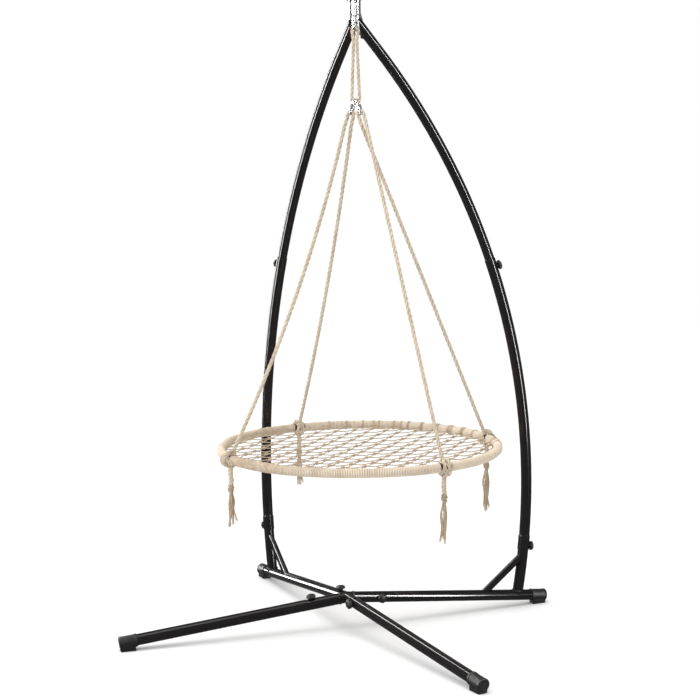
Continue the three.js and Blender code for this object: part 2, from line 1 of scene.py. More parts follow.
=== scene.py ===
"""Saucer nest swing on a two-armed stand: its looks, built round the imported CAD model.

Metres, +Z up, in the CAD model's frame. Each shown piece stands for the CAD node it is named after.
"""

import math
import random

import bpy
import numpy as np
from mathutils import Matrix, Vector


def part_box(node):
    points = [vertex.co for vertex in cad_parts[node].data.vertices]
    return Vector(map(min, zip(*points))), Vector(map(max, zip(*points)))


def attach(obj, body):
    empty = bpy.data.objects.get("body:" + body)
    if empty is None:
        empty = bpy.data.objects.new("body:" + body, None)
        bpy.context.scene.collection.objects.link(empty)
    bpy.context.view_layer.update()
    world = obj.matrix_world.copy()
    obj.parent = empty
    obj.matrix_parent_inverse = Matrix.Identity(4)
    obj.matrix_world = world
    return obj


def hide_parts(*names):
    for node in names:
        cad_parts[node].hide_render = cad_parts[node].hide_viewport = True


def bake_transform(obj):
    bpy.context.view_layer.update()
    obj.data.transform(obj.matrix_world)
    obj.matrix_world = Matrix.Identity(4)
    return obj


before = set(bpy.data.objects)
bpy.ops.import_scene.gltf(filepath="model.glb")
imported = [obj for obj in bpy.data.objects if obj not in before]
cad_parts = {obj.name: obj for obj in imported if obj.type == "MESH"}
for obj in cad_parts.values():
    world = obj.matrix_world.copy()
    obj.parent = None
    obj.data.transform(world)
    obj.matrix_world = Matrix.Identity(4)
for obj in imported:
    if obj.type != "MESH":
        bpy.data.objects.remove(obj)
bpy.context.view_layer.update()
MM = 0.001

# ---------------------------------------------------------------- places taken from the frame

bushing_low, bushing_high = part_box("hanger_bushing")
AXIS_Y = (bushing_low.y + bushing_high.y) / 2  # the swing hangs on this axis
HANGER_HEIGHT = (bushing_low.z + bushing_high.z) / 2
HUB_Y = AXIS_Y - 141 * MM
AXIS = np.array([0, AXIS_Y, 0])

# ---------------------------------------------------------------- dimensions, as in the CAD model

GAP = 0.3 * MM
LEFT, RIGHT = -1, 1
HANDS = {"left": LEFT, "right": RIGHT}

HUB_HEIGHT = 111.5 * MM
LEG_END_HEIGHT = 26.5 * MM
LEG_REACH = 785 * MM
REAR_LEG_ANGLE = 46.4
FRONT_LEG_ANGLE = 52.6
# Each leg: its direction clockwise from straight back, its hub stub, its knob, and whether that is on top.
LEGS = {
    "front_left": (180 + FRONT_LEG_ANGLE, 140 * MM, 125 * MM, True),
    "front_right": (180 - FRONT_LEG_ANGLE, 140 * MM, 60 * MM, False),
    "rear_left": (-REAR_LEG_ANGLE, 185 * MM, 46 * MM, True),
    "rear_right": (REAR_LEG_ANGLE, 185 * MM, 125 * MM, False),
}
LEG_R = 19.2 * MM
SPIGOT_R = 16.9 * MM
UPPER_ARM_R = 17.4 * MM
COLLAR_R = 21 * MM
BRACE_R = 12.5 * MM
CHAMFER = 0.9 * MM

APEX_HEIGHT = 2080 * MM
ARM_BEND_R = 2465 * MM
POST_REACH = 675 * MM
POST_FOOT_HEIGHT = 38 * MM
POST_TOP = 262 * MM
POST_KNOB = 221 * MM
COLLAR_FOOT = 206 * MM
ARM_SPLIT = 1262 * MM
ARM_KNOB = 1233 * MM
BRACE_REACH = 528 * MM
BRACE_TOP = 188 * MM

CAP_R = 22 * MM
CAP_LENGTH = 60 * MM
PAD_HALF_WIDTH = 17 * MM
PAD_LENGTH = 50 * MM

STRAP_INNER = 13.5 * MM
STRAP = 3.5 * MM
STRAP_BEND = 2166 * MM
STRAP_FACE = STRAP_INNER + STRAP + GAP
SCREW_BACK = 21 * MM
SCREW_HEIGHT = 2040 * MM
HANGER_R = 5 * MM
BUSHING_R = 8.5 * MM

HOOK_WIRE = 4.5 * MM
HOOK_BOW = 15.5 * MM
HOOK_TOP = 2168.8 * MM
HOOK_BOTTOM = 2049 * MM
NOSE_HEIGHT = 2117 * MM
GATE_HEEL = 2068 * MM
GATE_PIVOT = 2074 * MM
GATE_R = 4.2 * MM

SLING_R = 5.5 * MM
SLING_TOP_BEND = 10.6 * MM
SLING_NECK = 6.5 * MM
SLING_LOW_BEND = 14 * MM
SLING_BOTTOM = 1804.5 * MM

LINK_WIRE = 3.5 * MM
LINK_BOW = 10.5 * MM
LINK_SPAN = 51 * MM
LINK_LEAN = 16
LINK_OFFSET = 3.8 * MM
LINK_TOP = 1816.3 * MM

SEAT_HEIGHT = 614 * MM
HOOP_RING = 484 * MM
WRAP_R = 16 * MM
NET_R = 469 * MM
NET_SAG = 12 * MM
ROPE_R = 6 * MM
ROPE_BEND = 10 * MM
RIM_KNOT_R = 25 * MM
RIM_KNOT_HALF = 23 * MM
TAIL_R = 8.5 * MM
TAIL_LENGTH = 62 * MM
# Where each rope meets the rim, in degrees clockwise from straight back, and how long its tassel is.
ROPE_ENDS = {
    "front_left": (223, 143 * MM),
    "front_right": (125, 160 * MM),
    "rear_left": (311, 133 * MM),
    "rear_right": (51, 183 * MM),
}

# ---------------------------------------------------------------- camera

CAMERA_PLACE = Vector((1.7387, -4.5449, 1.4899))
CAMERA_FORWARD = Vector((-0.3562, 0.9282, -0.1078)).normalized()
CAMERA_ROLL = math.radians(-0.64)
CAMERA_LENS = 73.2


def make_camera():
    """A camera that looks at the swing from its front right, as high as a person's chest."""
    level = CAMERA_FORWARD.cross(Vector((0, 0, 1))).normalized()
    upward = level.cross(CAMERA_FORWARD)
    right = level * math.cos(CAMERA_ROLL) + upward * math.sin(CAMERA_ROLL)
    up = right.cross(CAMERA_FORWARD)
    data = bpy.data.cameras.new("camera")
    data.lens = CAMERA_LENS
    data.sensor_width = 36
    camera = bpy.data.objects.new("camera", data)
    basis = Matrix((right, up, -CAMERA_FORWARD)).transposed().to_4x4()
    camera.matrix_world = Matrix.Translation(CAMERA_PLACE) @ basis
    bpy.context.scene.collection.objects.link(camera)
    bpy.context.scene.camera = camera


make_camera()

# ---------------------------------------------------------------- materials


class Look:
    """A Principled material, and short ways to add texture nodes to it."""

    def __init__(self, name, **settings):
        self.material = bpy.data.materials.new(name)
        self.material.use_nodes = True
        self.nodes = self.material.node_tree.nodes
        self.links = self.material.node_tree.links
        self.shader = self.nodes["Principled BSDF"]
        for socket, value in settings.items():
            self.shader.inputs[socket.replace("_", " ")].default_value = value
        self.coordinates = self.nodes.new("ShaderNodeTexCoord")

    def link(self, source, target):
        self.links.new(source, target)

    def noise(self, scale, detail=3.0, roughness=0.5, vector=None):
        node = self.nodes.new("ShaderNodeTexNoise")
        node.inputs["Scale"].default_value = scale
        node.inputs["Detail"].default_value = detail
        node.inputs["Roughness"].default_value = roughness
        self.link(vector or self.coordinates.outputs["Object"], node.inputs["Vector"])
        return node.outputs["Fac"]

    def mapped(self, source, scale, turn=0.0):
        node = self.nodes.new("ShaderNodeMapping")
        node.inputs["Scale"].default_value = scale
        node.inputs["Rotation"].default_value = (0, 0, turn)
        self.link(self.coordinates.outputs[source], node.inputs["Vector"])
        return node.outputs["Vector"]

    def wave(self, scale, vector, distortion=1.0, detail=2.0, detail_scale=1.5):
        node = self.nodes.new("ShaderNodeTexWave")
        node.inputs["Scale"].default_value = scale
        node.inputs["Distortion"].default_value = distortion
        node.inputs["Detail"].default_value = detail
        node.inputs["Detail Scale"].default_value = detail_scale
        self.link(vector, node.inputs["Vector"])
        return node.outputs["Fac"]

    def ramp(self, fac, stops):
        node = self.nodes.new("ShaderNodeValToRGB")
        elements = node.color_ramp.elements
        while len(elements) < len(stops):
            elements.new(0.5)
        for element, (place, value) in zip(elements, stops):
            element.position = place
            element.color = (*value, 1) if hasattr(value, "__len__") else (value,) * 3 + (1,)
        self.link(fac, node.inputs["Fac"])
        return node.outputs["Color"]

    def mix(self, a, b, share):
        """Weighted sum of two values: a where share is 0, b where it is 1."""
        node = self.nodes.new("ShaderNodeMix")
        node.inputs["Factor"].default_value = share
        self.link(a, node.inputs["A"])
        self.link(b, node.inputs["B"])
        return node.outputs["Result"]

    def tint(self, color, shade, strength):
        """color darkened by a grey shade."""
        node = self.nodes.new("ShaderNodeMix")
        node.data_type = "RGBA"
        node.blend_type = "MULTIPLY"
        node.inputs["Factor"].default_value = strength
        self.link(color, node.inputs[6])
        self.link(shade, node.inputs[7])
        return node.outputs[2]

    def bump(self, height, strength, distance):
        node = self.nodes.new("ShaderNodeBump")
        node.inputs["Strength"].default_value = strength
        node.inputs["Distance"].default_value = distance
        self.link(height, node.inputs["Height"])
        self.link(node.outputs["Normal"], self.shader.inputs["Normal"])

    def color(self, source):
        self.link(source, self.shader.inputs["Base Color"])

    def roughness(self, source):
        self.link(source, self.shader.inputs["Roughness"])


def black_paint():
    """Semi-gloss powder coat: fine orange peel, a little dust, and slight scuffs in the gloss."""
    look = Look("black_paint_look", Specular_IOR_Level=0.5)
    dust = look.noise(5, 6, 0.7)
    look.color(look.ramp(dust, [(0.35, (0.0065, 0.0055, 0.0055)), (0.8, (0.012, 0.0105, 0.0105))]))
    scuffs = look.mix(look.noise(9, 5, 0.65), look.noise(420, 2), 0.2)
    look.roughness(look.ramp(scuffs, [(0.3, 0.1), (0.7, 0.16)]))
    look.bump(look.noise(1100, 2, 0.4), 0.02, 0.0002)
    return look.material


def black_plastic():
    """Moulded plastic with a fine leathery grain and paler rubbed patches."""
    look = Look("black_plastic_look", Specular_IOR_Level=0.45)
    rubbed = look.noise(30, 5, 0.7)
    look.color(look.ramp(rubbed, [(0.35, (0.008, 0.0075, 0.007)), (0.8, (0.02, 0.019, 0.018))]))
    look.roughness(look.ramp(look.noise(60, 4), [(0.3, 0.36), (0.7, 0.52)]))
    look.bump(look.noise(1400, 3, 0.6), 0.3, 0.0003)
    return look.material


def zinc():
    """Bright zinc plate with soft spangle and faint draw lines."""
    look = Look("zinc_look", Metallic=1.0)
    look.color(look.ramp(look.noise(160, 4, 0.6), [(0.3, (0.72, 0.73, 0.75)), (0.7, (0.9, 0.91, 0.92))]))
    lines = look.noise(300, 3, 0.6, look.mapped("Object", (1, 1, 0.06)))
    look.roughness(look.ramp(lines, [(0.3, 0.16), (0.7, 0.34)]))
    look.bump(lines, 0.08, 0.0002)
    return look.material


def chrome():
    """Plated wire: near mirror, with hazy patches and fine handling marks."""
    look = Look("chrome_look", Metallic=1.0)
    look.color(look.ramp(look.noise(70, 4), [(0.3, (0.66, 0.66, 0.68)), (0.7, (0.8, 0.8, 0.81))]))
    look.roughness(look.ramp(look.noise(240, 5, 0.7), [(0.4, 0.06), (0.8, 0.2)]))
    look.bump(look.noise(700, 2), 0.04, 0.0002)
    return look.material


def bushing_rubber():
    """Dark brown rubber, dusty and slightly pitted."""
    look = Look("bushing_look", Specular_IOR_Level=0.35)
    look.color(look.ramp(look.noise(90, 5, 0.7), [(0.3, (0.016, 0.009, 0.007)), (0.8, (0.05, 0.03, 0.022))]))
    look.roughness(look.ramp(look.noise(200, 3), [(0.3, 0.6), (0.8, 0.85)]))
    look.bump(look.noise(1600, 3), 0.3, 0.0004)
    return look.material


COTTON_SHADER = {
    "Roughness": 0.92,
    "Specular_IOR_Level": 0.18,
    "Sheen_Weight": 0.15,
    "Sheen_Roughness": 0.6,
}


def cotton(name, light, shade, ply, slant, fuzz=0.35):
    """Spun cotton cord: fine plies across its length, blotches, flecks and fuzz. The ply bands paint shade
    into the grooves between plies; fibres and blotches are random tone. ply is in bands a metre.
    """
    look = Look(name, **COTTON_SHADER)
    plies = look.wave(ply, look.mapped("UV", (1, 1, 1), slant), 1.2, 2.0, 2.0)
    fibres = look.noise(900, 4, 0.7, look.mapped("UV", (1, 0.35, 1), slant))
    blotches = look.noise(16, 5, 0.65)
    # Painted shade in the ply grooves, mixed with random tone from the fibres and blotches.
    ply_shade_and_tone = look.mix(look.mix(plies, fibres, 0.55), blotches, 0.4)
    body = look.ramp(ply_shade_and_tone, [(0.25, shade), (0.6, light)])
    flecks = look.ramp(look.noise(520, 2, 0.8), [(0.27, 0.6), (0.42, 1.0)])
    look.color(look.tint(body, flecks, 0.7))
    look.bump(look.mix(plies, look.noise(2600, 3, 0.7), fuzz), 0.55, 0.0006)
    return look.material


WRAP_PITCH = 5.2 * MM
WRAP_GIRTH = 2 * math.pi * WRAP_R


def cotton_wrap():
    """Cotton cord wound in close turns: the groove between turns is darkened with painted shade, and the
    turns differ.
    """
    look = Look("cotton_wrap_look", **COTTON_SHADER)
    lean = math.atan2(WRAP_PITCH, WRAP_GIRTH)
    turns = look.wave(math.pi / 10 / WRAP_PITCH, look.mapped("UV", (1, 1, 1), lean), 0.0, 0.0)
    fibres = look.noise(1500, 4, 0.7, look.mapped("UV", (1, 0.2, 1)))
    blotches = look.noise(22, 5, 0.7)
    base = look.ramp(look.mix(fibres, blotches, 0.5), [(0.3, (0.52, 0.4, 0.28)), (0.6, (0.79, 0.7, 0.57))])
    uneven = look.mix(turns, look.noise(60, 3, 0.6), 0.35)
    # Painted shade: the colour is darkened in the grooves between turns, where shade falls.
    painted_groove_shade = look.ramp(uneven, [(0.15, (0.34, 0.25, 0.17)), (0.5, 1.0)])
    look.color(look.tint(base, painted_groove_shade, 0.85))
    look.bump(look.mix(turns, fibres, 0.4), 0.5, 0.0006)
    return look.material


LOOKS = {
    "black_paint": black_paint(),
    "black_plastic": black_plastic(),
    "zinc": zinc(),
    "chrome": chrome(),
    "bushing": bushing_rubber(),
    "cotton_rope": cotton("cotton_rope_look", (0.76, 0.66, 0.52), (0.3, 0.205, 0.12), 190, 0.5),
    "cotton_wrap": cotton_wrap(),
    # The net's colours are darker than the rope's: painted shade, standing in for the shade among its knots
    # and cords.
    "cotton_net": cotton("cotton_net_shaded_look", (0.58, 0.46, 0.33), (0.25, 0.165, 0.095), 260, 0.5),
    "cotton_strand": cotton("cotton_strand_look", (0.56, 0.44, 0.31), (0.25, 0.165, 0.09), 240, 0.3, 0.5),
}

# ---------------------------------------------------------------- mesh making


def unit(vectors):
    vectors = np.asarray(vectors, float)
    return vectors / np.linalg.norm(vectors, axis=-1, keepdims=True)


def distances(path):
    """How far along a path each of its points is."""
    return np.concatenate([[0], np.cumsum(np.linalg.norm(np.diff(path, axis=0), axis=1))])


def smooth(points, step, loop=False):
    """Points about a step apart, on the smooth curve through the given points."""
    points = np.asarray(points, float)
    if loop:
        padded = np.concatenate([points[-1:], points, points[:2]])
    else:
        padded = np.concatenate([2 * points[:1] - points[1:2], points, 2 * points[-1:] - points[-2:-1]])
    t = np.linspace(0, 1, 12, endpoint=False)[:, None]
    spans = []
    for a, b, c, d in zip(padded, padded[1:], padded[2:], padded[3:]):
        bend = 2 * a - 5 * b + 4 * c - d
        ease = 3 * b - a - 3 * c + d
        spans.append(0.5 * (2 * b + (c - a) * t + bend * t**2 + ease * t**3))
    fine = np.concatenate([*spans, padded[-2:-1]])
    along = distances(fine)
    count = max(int(round(along[-1] / step)), 3)
    places = np.linspace(0, along[-1], count, endpoint=not loop)
    return np.stack([np.interp(places, along, fine[:, axis]) for axis in range(3)], 1)


def frames(path, loop=False):
    """Along a path: the way ahead, and two directions square to it that don't spin."""
    path = np.asarray(path, float)
    if loop:
        ahead = unit(np.roll(path, -1, 0) - np.roll(path, 1, 0))
    else:
        ahead = unit(np.gradient(path, axis=0))
    side = np.empty_like(ahead)
    guess = np.eye(3)[np.argmin(np.abs(ahead[0]))]
    for i, direction in enumerate(ahead):
        guess = unit(guess - direction * (guess @ direction))
        side[i] = guess
    return ahead, side, np.cross(ahead, side)


class Shape:
    """Skins of rings, gathered into one mesh."""

    def __init__(self):
        self.points = []
        self.faces = []
        self.uvs = []
        self.size = 0

    def skin(self, rings, along, girth, ends=True, loop=False):
        """Joins each ring to the next. The UVs are metres along and round the skin."""
        rings = np.asarray(rings, float)
        count, sides = rings.shape[:2]
        i, j = np.meshgrid(np.arange(count if loop else count - 1), np.arange(sides), indexing="ij")
        after, beside = (i + 1) % count, (j + 1) % sides
        corners = [i * sides + j, i * sides + beside, after * sides + beside, after * sides + j]
        quads = np.stack(corners, -1).reshape(-1, 4) + self.size
        along = np.asarray(along, float)
        reach = np.append(along, 2 * along[-1] - along[-2])
        v = girth / sides
        uv = np.stack(
            [
                np.stack([reach[i], j * v], -1),
                np.stack([reach[i], (j + 1) * v], -1),
                np.stack([reach[i + 1], (j + 1) * v], -1),
                np.stack([reach[i + 1], j * v], -1),
            ],
            -2,
        )
        self.points.append(rings.reshape(-1, 3))
        self.faces.extend(quads.tolist())
        self.uvs.append(uv.reshape(-1, 2))
        if ends and not loop:
            first = np.arange(sides)[::-1] + self.size
            last = np.arange(sides) + (count - 1) * sides + self.size
            for ring in (first, last):
                self.faces.append(ring.tolist())
                turn = 2 * np.pi * np.arange(sides) / sides
                self.uvs.append(girth / 6.3 * np.stack([np.cos(turn), np.sin(turn)], -1))
        self.size += count * sides

    def tube(self, path, radius, sides=12, loop=False, axes=None, ends=True):
        """A round skin along a path. The radius may change along it."""
        path = np.asarray(path, float)
        _, side, up = axes or frames(path, loop)
        turn = 2 * np.pi * np.arange(sides) / sides
        radius = np.broadcast_to(radius, len(path))
        round_about = side[:, None] * np.cos(turn)[:, None] + up[:, None] * np.sin(turn)[:, None]
        rings = path[:, None] + radius[:, None, None] * round_about
        self.skin(rings, distances(path), 2 * np.pi * radius.max(), ends, loop)

    def profiled(self, point_at, profile, sides=32, step=0.04, flute=None):
        """A turned or bent piece: (place, radius) pairs along a line given by point_at."""
        rows = [profile[0]]
        for (s0, r0), (s1, r1) in zip(profile, profile[1:]):
            pieces = max(int(math.ceil(abs(s1 - s0) / step)), 1)
            for k in range(1, pieces + 1):
                rows.append((s0 + (s1 - s0) * k / pieces, r0 + (r1 - r0) * k / pieces))
        tiny = 1e-4
        places = np.array([place for place, _ in rows])
        path = np.array([point_at(place) for place in places])
        ahead = unit([np.subtract(point_at(place + tiny), point_at(place - tiny)) for place in places])
        guess = np.eye(3)[np.argmin(np.abs(ahead[0]))]
        side = unit(guess - ahead * (ahead @ guess)[:, None])
        up = np.cross(ahead, side)
        turn = 2 * np.pi * np.arange(sides) / sides
        radius = np.repeat(np.array([r for _, r in rows])[:, None], sides, 1)
        if flute:
            lobes, depth, start, stop = flute
            fluted = (places >= start) & (places <= stop)
            radius[fluted] -= depth * (0.5 - 0.5 * np.cos(lobes * turn)) ** 2
        round_about = side[:, None] * np.cos(turn)[:, None] + up[:, None] * np.sin(turn)[:, None]
        along = np.cumsum([0, *(abs(b[0] - a[0]) + abs(b[1] - a[1]) for a, b in zip(rows, rows[1:]))])
        self.skin(path[:, None] + radius[:, :, None] * round_about, along, 2 * np.pi * radius.max())

    def turned(self, origin, direction, profile, sides=32, flute=None):
        """A turned piece about a straight axis."""
        origin = np.asarray(origin, float)
        direction = unit(direction)
        self.profiled(lambda place: origin + direction * place, profile, sides, 1.0, flute)

    def twisted(self, path, radius, lay, strands=3, sides=8, loop=False, phase=0.0):
        """A laid rope along a path: strands wound right-handed round each other, one turn in each lay."""
        path = np.asarray(path, float)
        ahead, side, up = frames(path, loop)
        along = distances(path)
        if loop:
            whole = along[-1] + np.linalg.norm(path[0] - path[-1])
            lay = whole / max(round(whole / lay), 1)
        offset = radius * 0.53
        for strand in range(strands):
            turn = 2 * np.pi * (along / lay + strand / strands) + phase
            away = side * np.cos(turn)[:, None] + up * np.sin(turn)[:, None]
            self.tube(path + away * offset, radius - offset, sides, loop)

    def build(self, name, look, stands_for=(), sharp=38):
        """Makes the mesh object, smooth except at sharp edges."""
        mesh = bpy.data.meshes.new(name)
        mesh.from_pydata(np.concatenate(self.points).tolist(), [], self.faces)
        mesh.uv_layers.new(name="UVMap").data.foreach_set("uv", np.concatenate(self.uvs).ravel())
        mesh.shade_smooth()
        mesh.set_sharp_from_angle(angle=math.radians(sharp))
        mesh.materials.append(LOOKS[look])
        piece = bpy.data.objects.new(name, mesh)
        bpy.context.scene.collection.objects.link(piece)
        if stands_for:
            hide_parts(*stands_for)
        return piece


def finish_piece(shape, node, look, body, sharp=38):
    """Builds a piece that stands for one CAD node and rides on its body."""
    piece = shape.build(node + "_fine", look, (node,), sharp)
    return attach(piece, body)


# ---------------------------------------------------------------- rim, links and other shared places


def rim_point(angle, radius=HOOP_RING, height=SEAT_HEIGHT):
    """A point on the rim, degrees clockwise from straight back."""
    turn = math.radians(angle)
    return np.array([radius * math.sin(turn), AXIS_Y + radius * math.cos(turn), height])


def rim_axes(angle):
    """Along the rim, outwards and up."""
    turn = math.radians(angle)
    along = np.array([math.cos(turn), -math.sin(turn), 0])
    outward = np.array([math.sin(turn), math.cos(turn), 0])
    return along, outward, np.array([0.0, 0.0, 1.0])


def link_point(side, x, y, z):
    """From a link's own frame: -Z down its length, +X away from the other link."""
    lean = math.radians(-LINK_LEAN)
    across = x * math.cos(lean) + z * math.sin(lean)
    height = z * math.cos(lean) - x * math.sin(lean)
    return np.array([side * (across + LINK_OFFSET), AXIS_Y + side * y, LINK_TOP + height])


def arc(centre, radius, start, stop, steps):
    """(across, height) pairs on an arc, in degrees."""
    turns = np.radians(np.linspace(start, stop, steps + 1))
    return [(centre[0] + radius * math.cos(t), centre[1] + radius * math.sin(t)) for t in turns]


# ---------------------------------------------------------------- the two suspension ropes

ROPE_LAY = 60 * MM
ROPE_LOOK_R = 6.9 * MM  # over the crests of its strands
ROPE_STEP = 4 * MM
SHOULDER = 22 * MM
LEG_POINTS = 16
ROPE_SAG = {"left": 32 * MM, "right": 0}  # how far the middle of a stretch hangs in from straight


def rope_leg(side, angle, link_side, sag):
    """Half of a rope's route, from its rim knot up to the side of the link it bends over."""
    start = link_point(side, link_side * ROPE_BEND, 0, -LINK_SPAN)
    corner = link_point(side, link_side * ROPE_BEND, 0, -LINK_SPAN - SHOULDER)
    knot = rim_point(angle)
    down = unit(knot - corner)
    end = knot - down * (RIM_KNOT_R + 1 * MM)
    below = corner + down * SHOULDER
    inward = np.array([-knot[0], -knot[1], 0.0])
    inward = unit(inward - down * (inward @ down))
    stretch = []
    for k in range(LEG_POINTS):
        along = k / LEG_POINTS
        stretch.append(end + (below - end) * along + inward * 4 * sag * along * (1 - along))
    bend = [below * (1 - t) ** 2 + 2 * corner * t * (1 - t) + start * t**2 for t in (0, 1 / 3, 2 / 3, 1)]
    return stretch + bend


def suspension_rope(hand):
    """One rope, from its front rim knot over its link to its rear rim knot."""
    side = HANDS[hand]
    over = [link_point(side, x, 0, z) for x, z in arc((0, -LINK_SPAN), ROPE_BEND, 0, 180, 8)[1:-1]]
    route = rope_leg(side, ROPE_ENDS["front_" + hand][0], 1, ROPE_SAG[hand]) + over
    route += rope_leg(side, ROPE_ENDS["rear_" + hand][0], -1, ROPE_SAG[hand])[::-1]
    path = smooth(route, ROPE_STEP)
    shape = Shape()
    shape.twisted(path, ROPE_LOOK_R, ROPE_LAY, sides=9)
    rope = finish_piece(shape, "rope_" + hand, "cotton_rope", "seat")
    return path


rope_paths = {hand: suspension_rope(hand) for hand in HANDS}

# ---------------------------------------------------------------- sling

SLING_LAY = 54 * MM


def sling():
    """A closed loop of rope round the hook's lower bow and through both links."""
    low = SLING_BOTTOM + SLING_LOW_BEND
    neck = HOOK_BOTTOM - 39 * MM
    edge = [(10.3 * MM, HOOK_BOTTOM - 8 * MM), (8.6 * MM, HOOK_BOTTOM - 17 * MM)]
    edge += [(7 * MM, HOOK_BOTTOM - 27 * MM)]
    for share in (0, 0.25, 0.5, 0.75):
        edge.append((SLING_NECK + (SLING_LOW_BEND - SLING_NECK) * share, neck + (low - neck) * share))
    outline = arc((0, HOOK_BOTTOM), SLING_TOP_BEND, 0, 180, 6) + [(-x, z) for x, z in edge]
    outline += arc((0, low), SLING_LOW_BEND, 180, 360, 8) + edge[::-1]
    path = smooth([(x, AXIS_Y, z) for x, z in outline], 3.5 * MM, loop=True)
    shape = Shape()
    shape.twisted(path, SLING_R * 1.08, SLING_LAY, sides=9, loop=True)
    piece = shape.build("sling_fine", "cotton_rope", ("sling",))
    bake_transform(piece)


sling()

# ---------------------------------------------------------------- stand: hub, legs, posts and arms

LEG_SLOPE = math.atan2(HUB_HEIGHT - LEG_END_HEIGHT, LEG_REACH)
LEG_LENGTH = math.hypot(HUB_HEIGHT - LEG_END_HEIGHT, LEG_REACH)


def leg_axes(angle):
    """Out along a leg, across it, and up from it."""
    turn = math.radians(angle)
    flat = math.cos(LEG_SLOPE)
    outward = np.array([math.sin(turn) * flat, math.cos(turn) * flat, -math.sin(LEG_SLOPE)])
    across = unit([-outward[1], outward[0], 0])
    return outward, across, np.cross(outward, across)


def leg_line(angle):
    """The line of a leg, as a function of the distance from the hub."""
    outward = leg_axes(angle)[0]
    return lambda place: np.array([0, HUB_Y, HUB_HEIGHT]) + outward * place


def arm_bend():
    """Direction of the right arm's plane, and the centre of the bend in it as (reach, height)."""
    post = leg_line(REAR_LEG_ANGLE)(POST_REACH) - AXIS
    reach = math.hypot(post[0], post[1])
    chord = np.array([-reach, APEX_HEIGHT - POST_FOOT_HEIGHT])
    offset = math.sqrt(ARM_BEND_R**2 - chord @ chord / 4)
    centre = np.array([reach, POST_FOOT_HEIGHT]) + chord / 2 + unit([-chord[1], chord[0]]) * offset
    return math.atan2(post[0], post[1]), centre


ARM_ANGLE, BEND_CENTRE = arm_bend()


def arm_line(side):
    """The line of an arm, as a function of height."""
    flat = np.array([side * math.sin(ARM_ANGLE), math.cos(ARM_ANGLE), 0])

    def point_at(height):
        reach = BEND_CENTRE[0] + math.sqrt(ARM_BEND_R**2 - (height - BEND_CENTRE[1]) ** 2)
        return AXIS + flat * reach + np.array([0, 0, height])

    return point_at


def arm_outward(side, height):
    """The way out of an arm's bend."""
    reach = math.sqrt(ARM_BEND_R**2 - (height - BEND_CENTRE[1]) ** 2)
    flat = np.array([side * math.sin(ARM_ANGLE), math.cos(ARM_ANGLE), 0])
    return unit(flat * reach + np.array([0, 0, height - BEND_CENTRE[1]]))


def weld(shape, centre, axis, radius, toward, lean, bead=2.2 * MM):
    """An uneven weld bead where one tube meets another: a ring, stretched and tilted along the axis."""
    axis, toward = unit(axis), unit(toward)
    across = np.cross(axis, toward)
    turns = np.linspace(0, 2 * np.pi, 90, endpoint=False)
    ring = centre + radius * (np.cos(turns)[:, None] * toward + np.sin(turns)[:, None] * across)
    ring = ring + (lean * np.cos(turns))[:, None] * axis
    shape.tube(ring, bead * (1 + 0.14 * np.sin(23 * turns) + 0.08 * np.sin(41 * turns)), 8, loop=True)


def hub():
    shape = Shape()
    for angle, stub, _, _ in LEGS.values():
        profile = [(0, LEG_R), (stub - CHAMFER, LEG_R), (stub, LEG_R - CHAMFER), (stub, SPIGOT_R)]
        shape.profiled(leg_line(angle), profile)
    for name in ("front_left", "rear_right"):
        outward, across, _ = leg_axes(LEGS[name][0])
        weld(shape, leg_line(LEGS[name][0])(24 * MM), outward, LEG_R, across, 4 * MM)
    return shape


def leg_tube(name):
    """A leg's straight tube, from its shoulder at the hub to its cap."""
    angle, stub, _, _ = LEGS[name]
    start = stub + GAP
    end = LEG_LENGTH - 5 * MM
    profile = [(start, SPIGOT_R), (start, LEG_R - CHAMFER), (start + CHAMFER, LEG_R), (end, LEG_R)]
    shape = Shape()
    shape.profiled(leg_line(angle), profile)
    return shape


def rear_leg(hand):
    """Leg tube with its post, collar and brace, welded together."""
    side = HANDS[hand]
    name = "rear_" + hand
    shape = leg_tube(name)
    arm = arm_line(side)
    post = [(POST_FOOT_HEIGHT, LEG_R), (COLLAR_FOOT, LEG_R), (COLLAR_FOOT, COLLAR_R - CHAMFER)]
    post += [(COLLAR_FOOT + CHAMFER, COLLAR_R), (POST_TOP - 3 * MM - CHAMFER, COLLAR_R)]
    post += [(POST_TOP - 3 * MM, COLLAR_R - CHAMFER), (POST_TOP - 3 * MM, LEG_R)]
    post += [(POST_TOP, LEG_R - 0.5 * MM)]
    post += [(POST_TOP, SPIGOT_R)]
    shape.profiled(arm, post)
    foot = leg_line(LEGS[name][0])(BRACE_REACH)
    head = arm(BRACE_TOP)
    shape.turned(foot, head - foot, [(0, BRACE_R), (np.linalg.norm(head - foot), BRACE_R)])
    outward, _, up = leg_axes(LEGS[name][0])
    slant = unit(head - foot)
    weld(shape, leg_line(LEGS[name][0])(POST_REACH) + up * (LEG_R * 0.93), up, LEG_R, outward, 2 * MM)
    weld(shape, foot + slant * 27 * MM, slant, BRACE_R, outward, 11 * MM, 1.8 * MM)
    weld(shape, head - slant * 28 * MM, slant, BRACE_R, up, 12 * MM, 1.8 * MM)
    return shape


def lower_arm(hand):
    foot = POST_TOP + GAP
    shape = Shape()
    profile = [(foot, SPIGOT_R), (foot, LEG_R - CHAMFER), (foot + CHAMFER, LEG_R)]
    profile += [(ARM_SPLIT - CHAMFER, LEG_R), (ARM_SPLIT, LEG_R - CHAMFER), (ARM_SPLIT, UPPER_ARM_R)]
    shape.profiled(arm_line(HANDS[hand]), profile)
    return shape


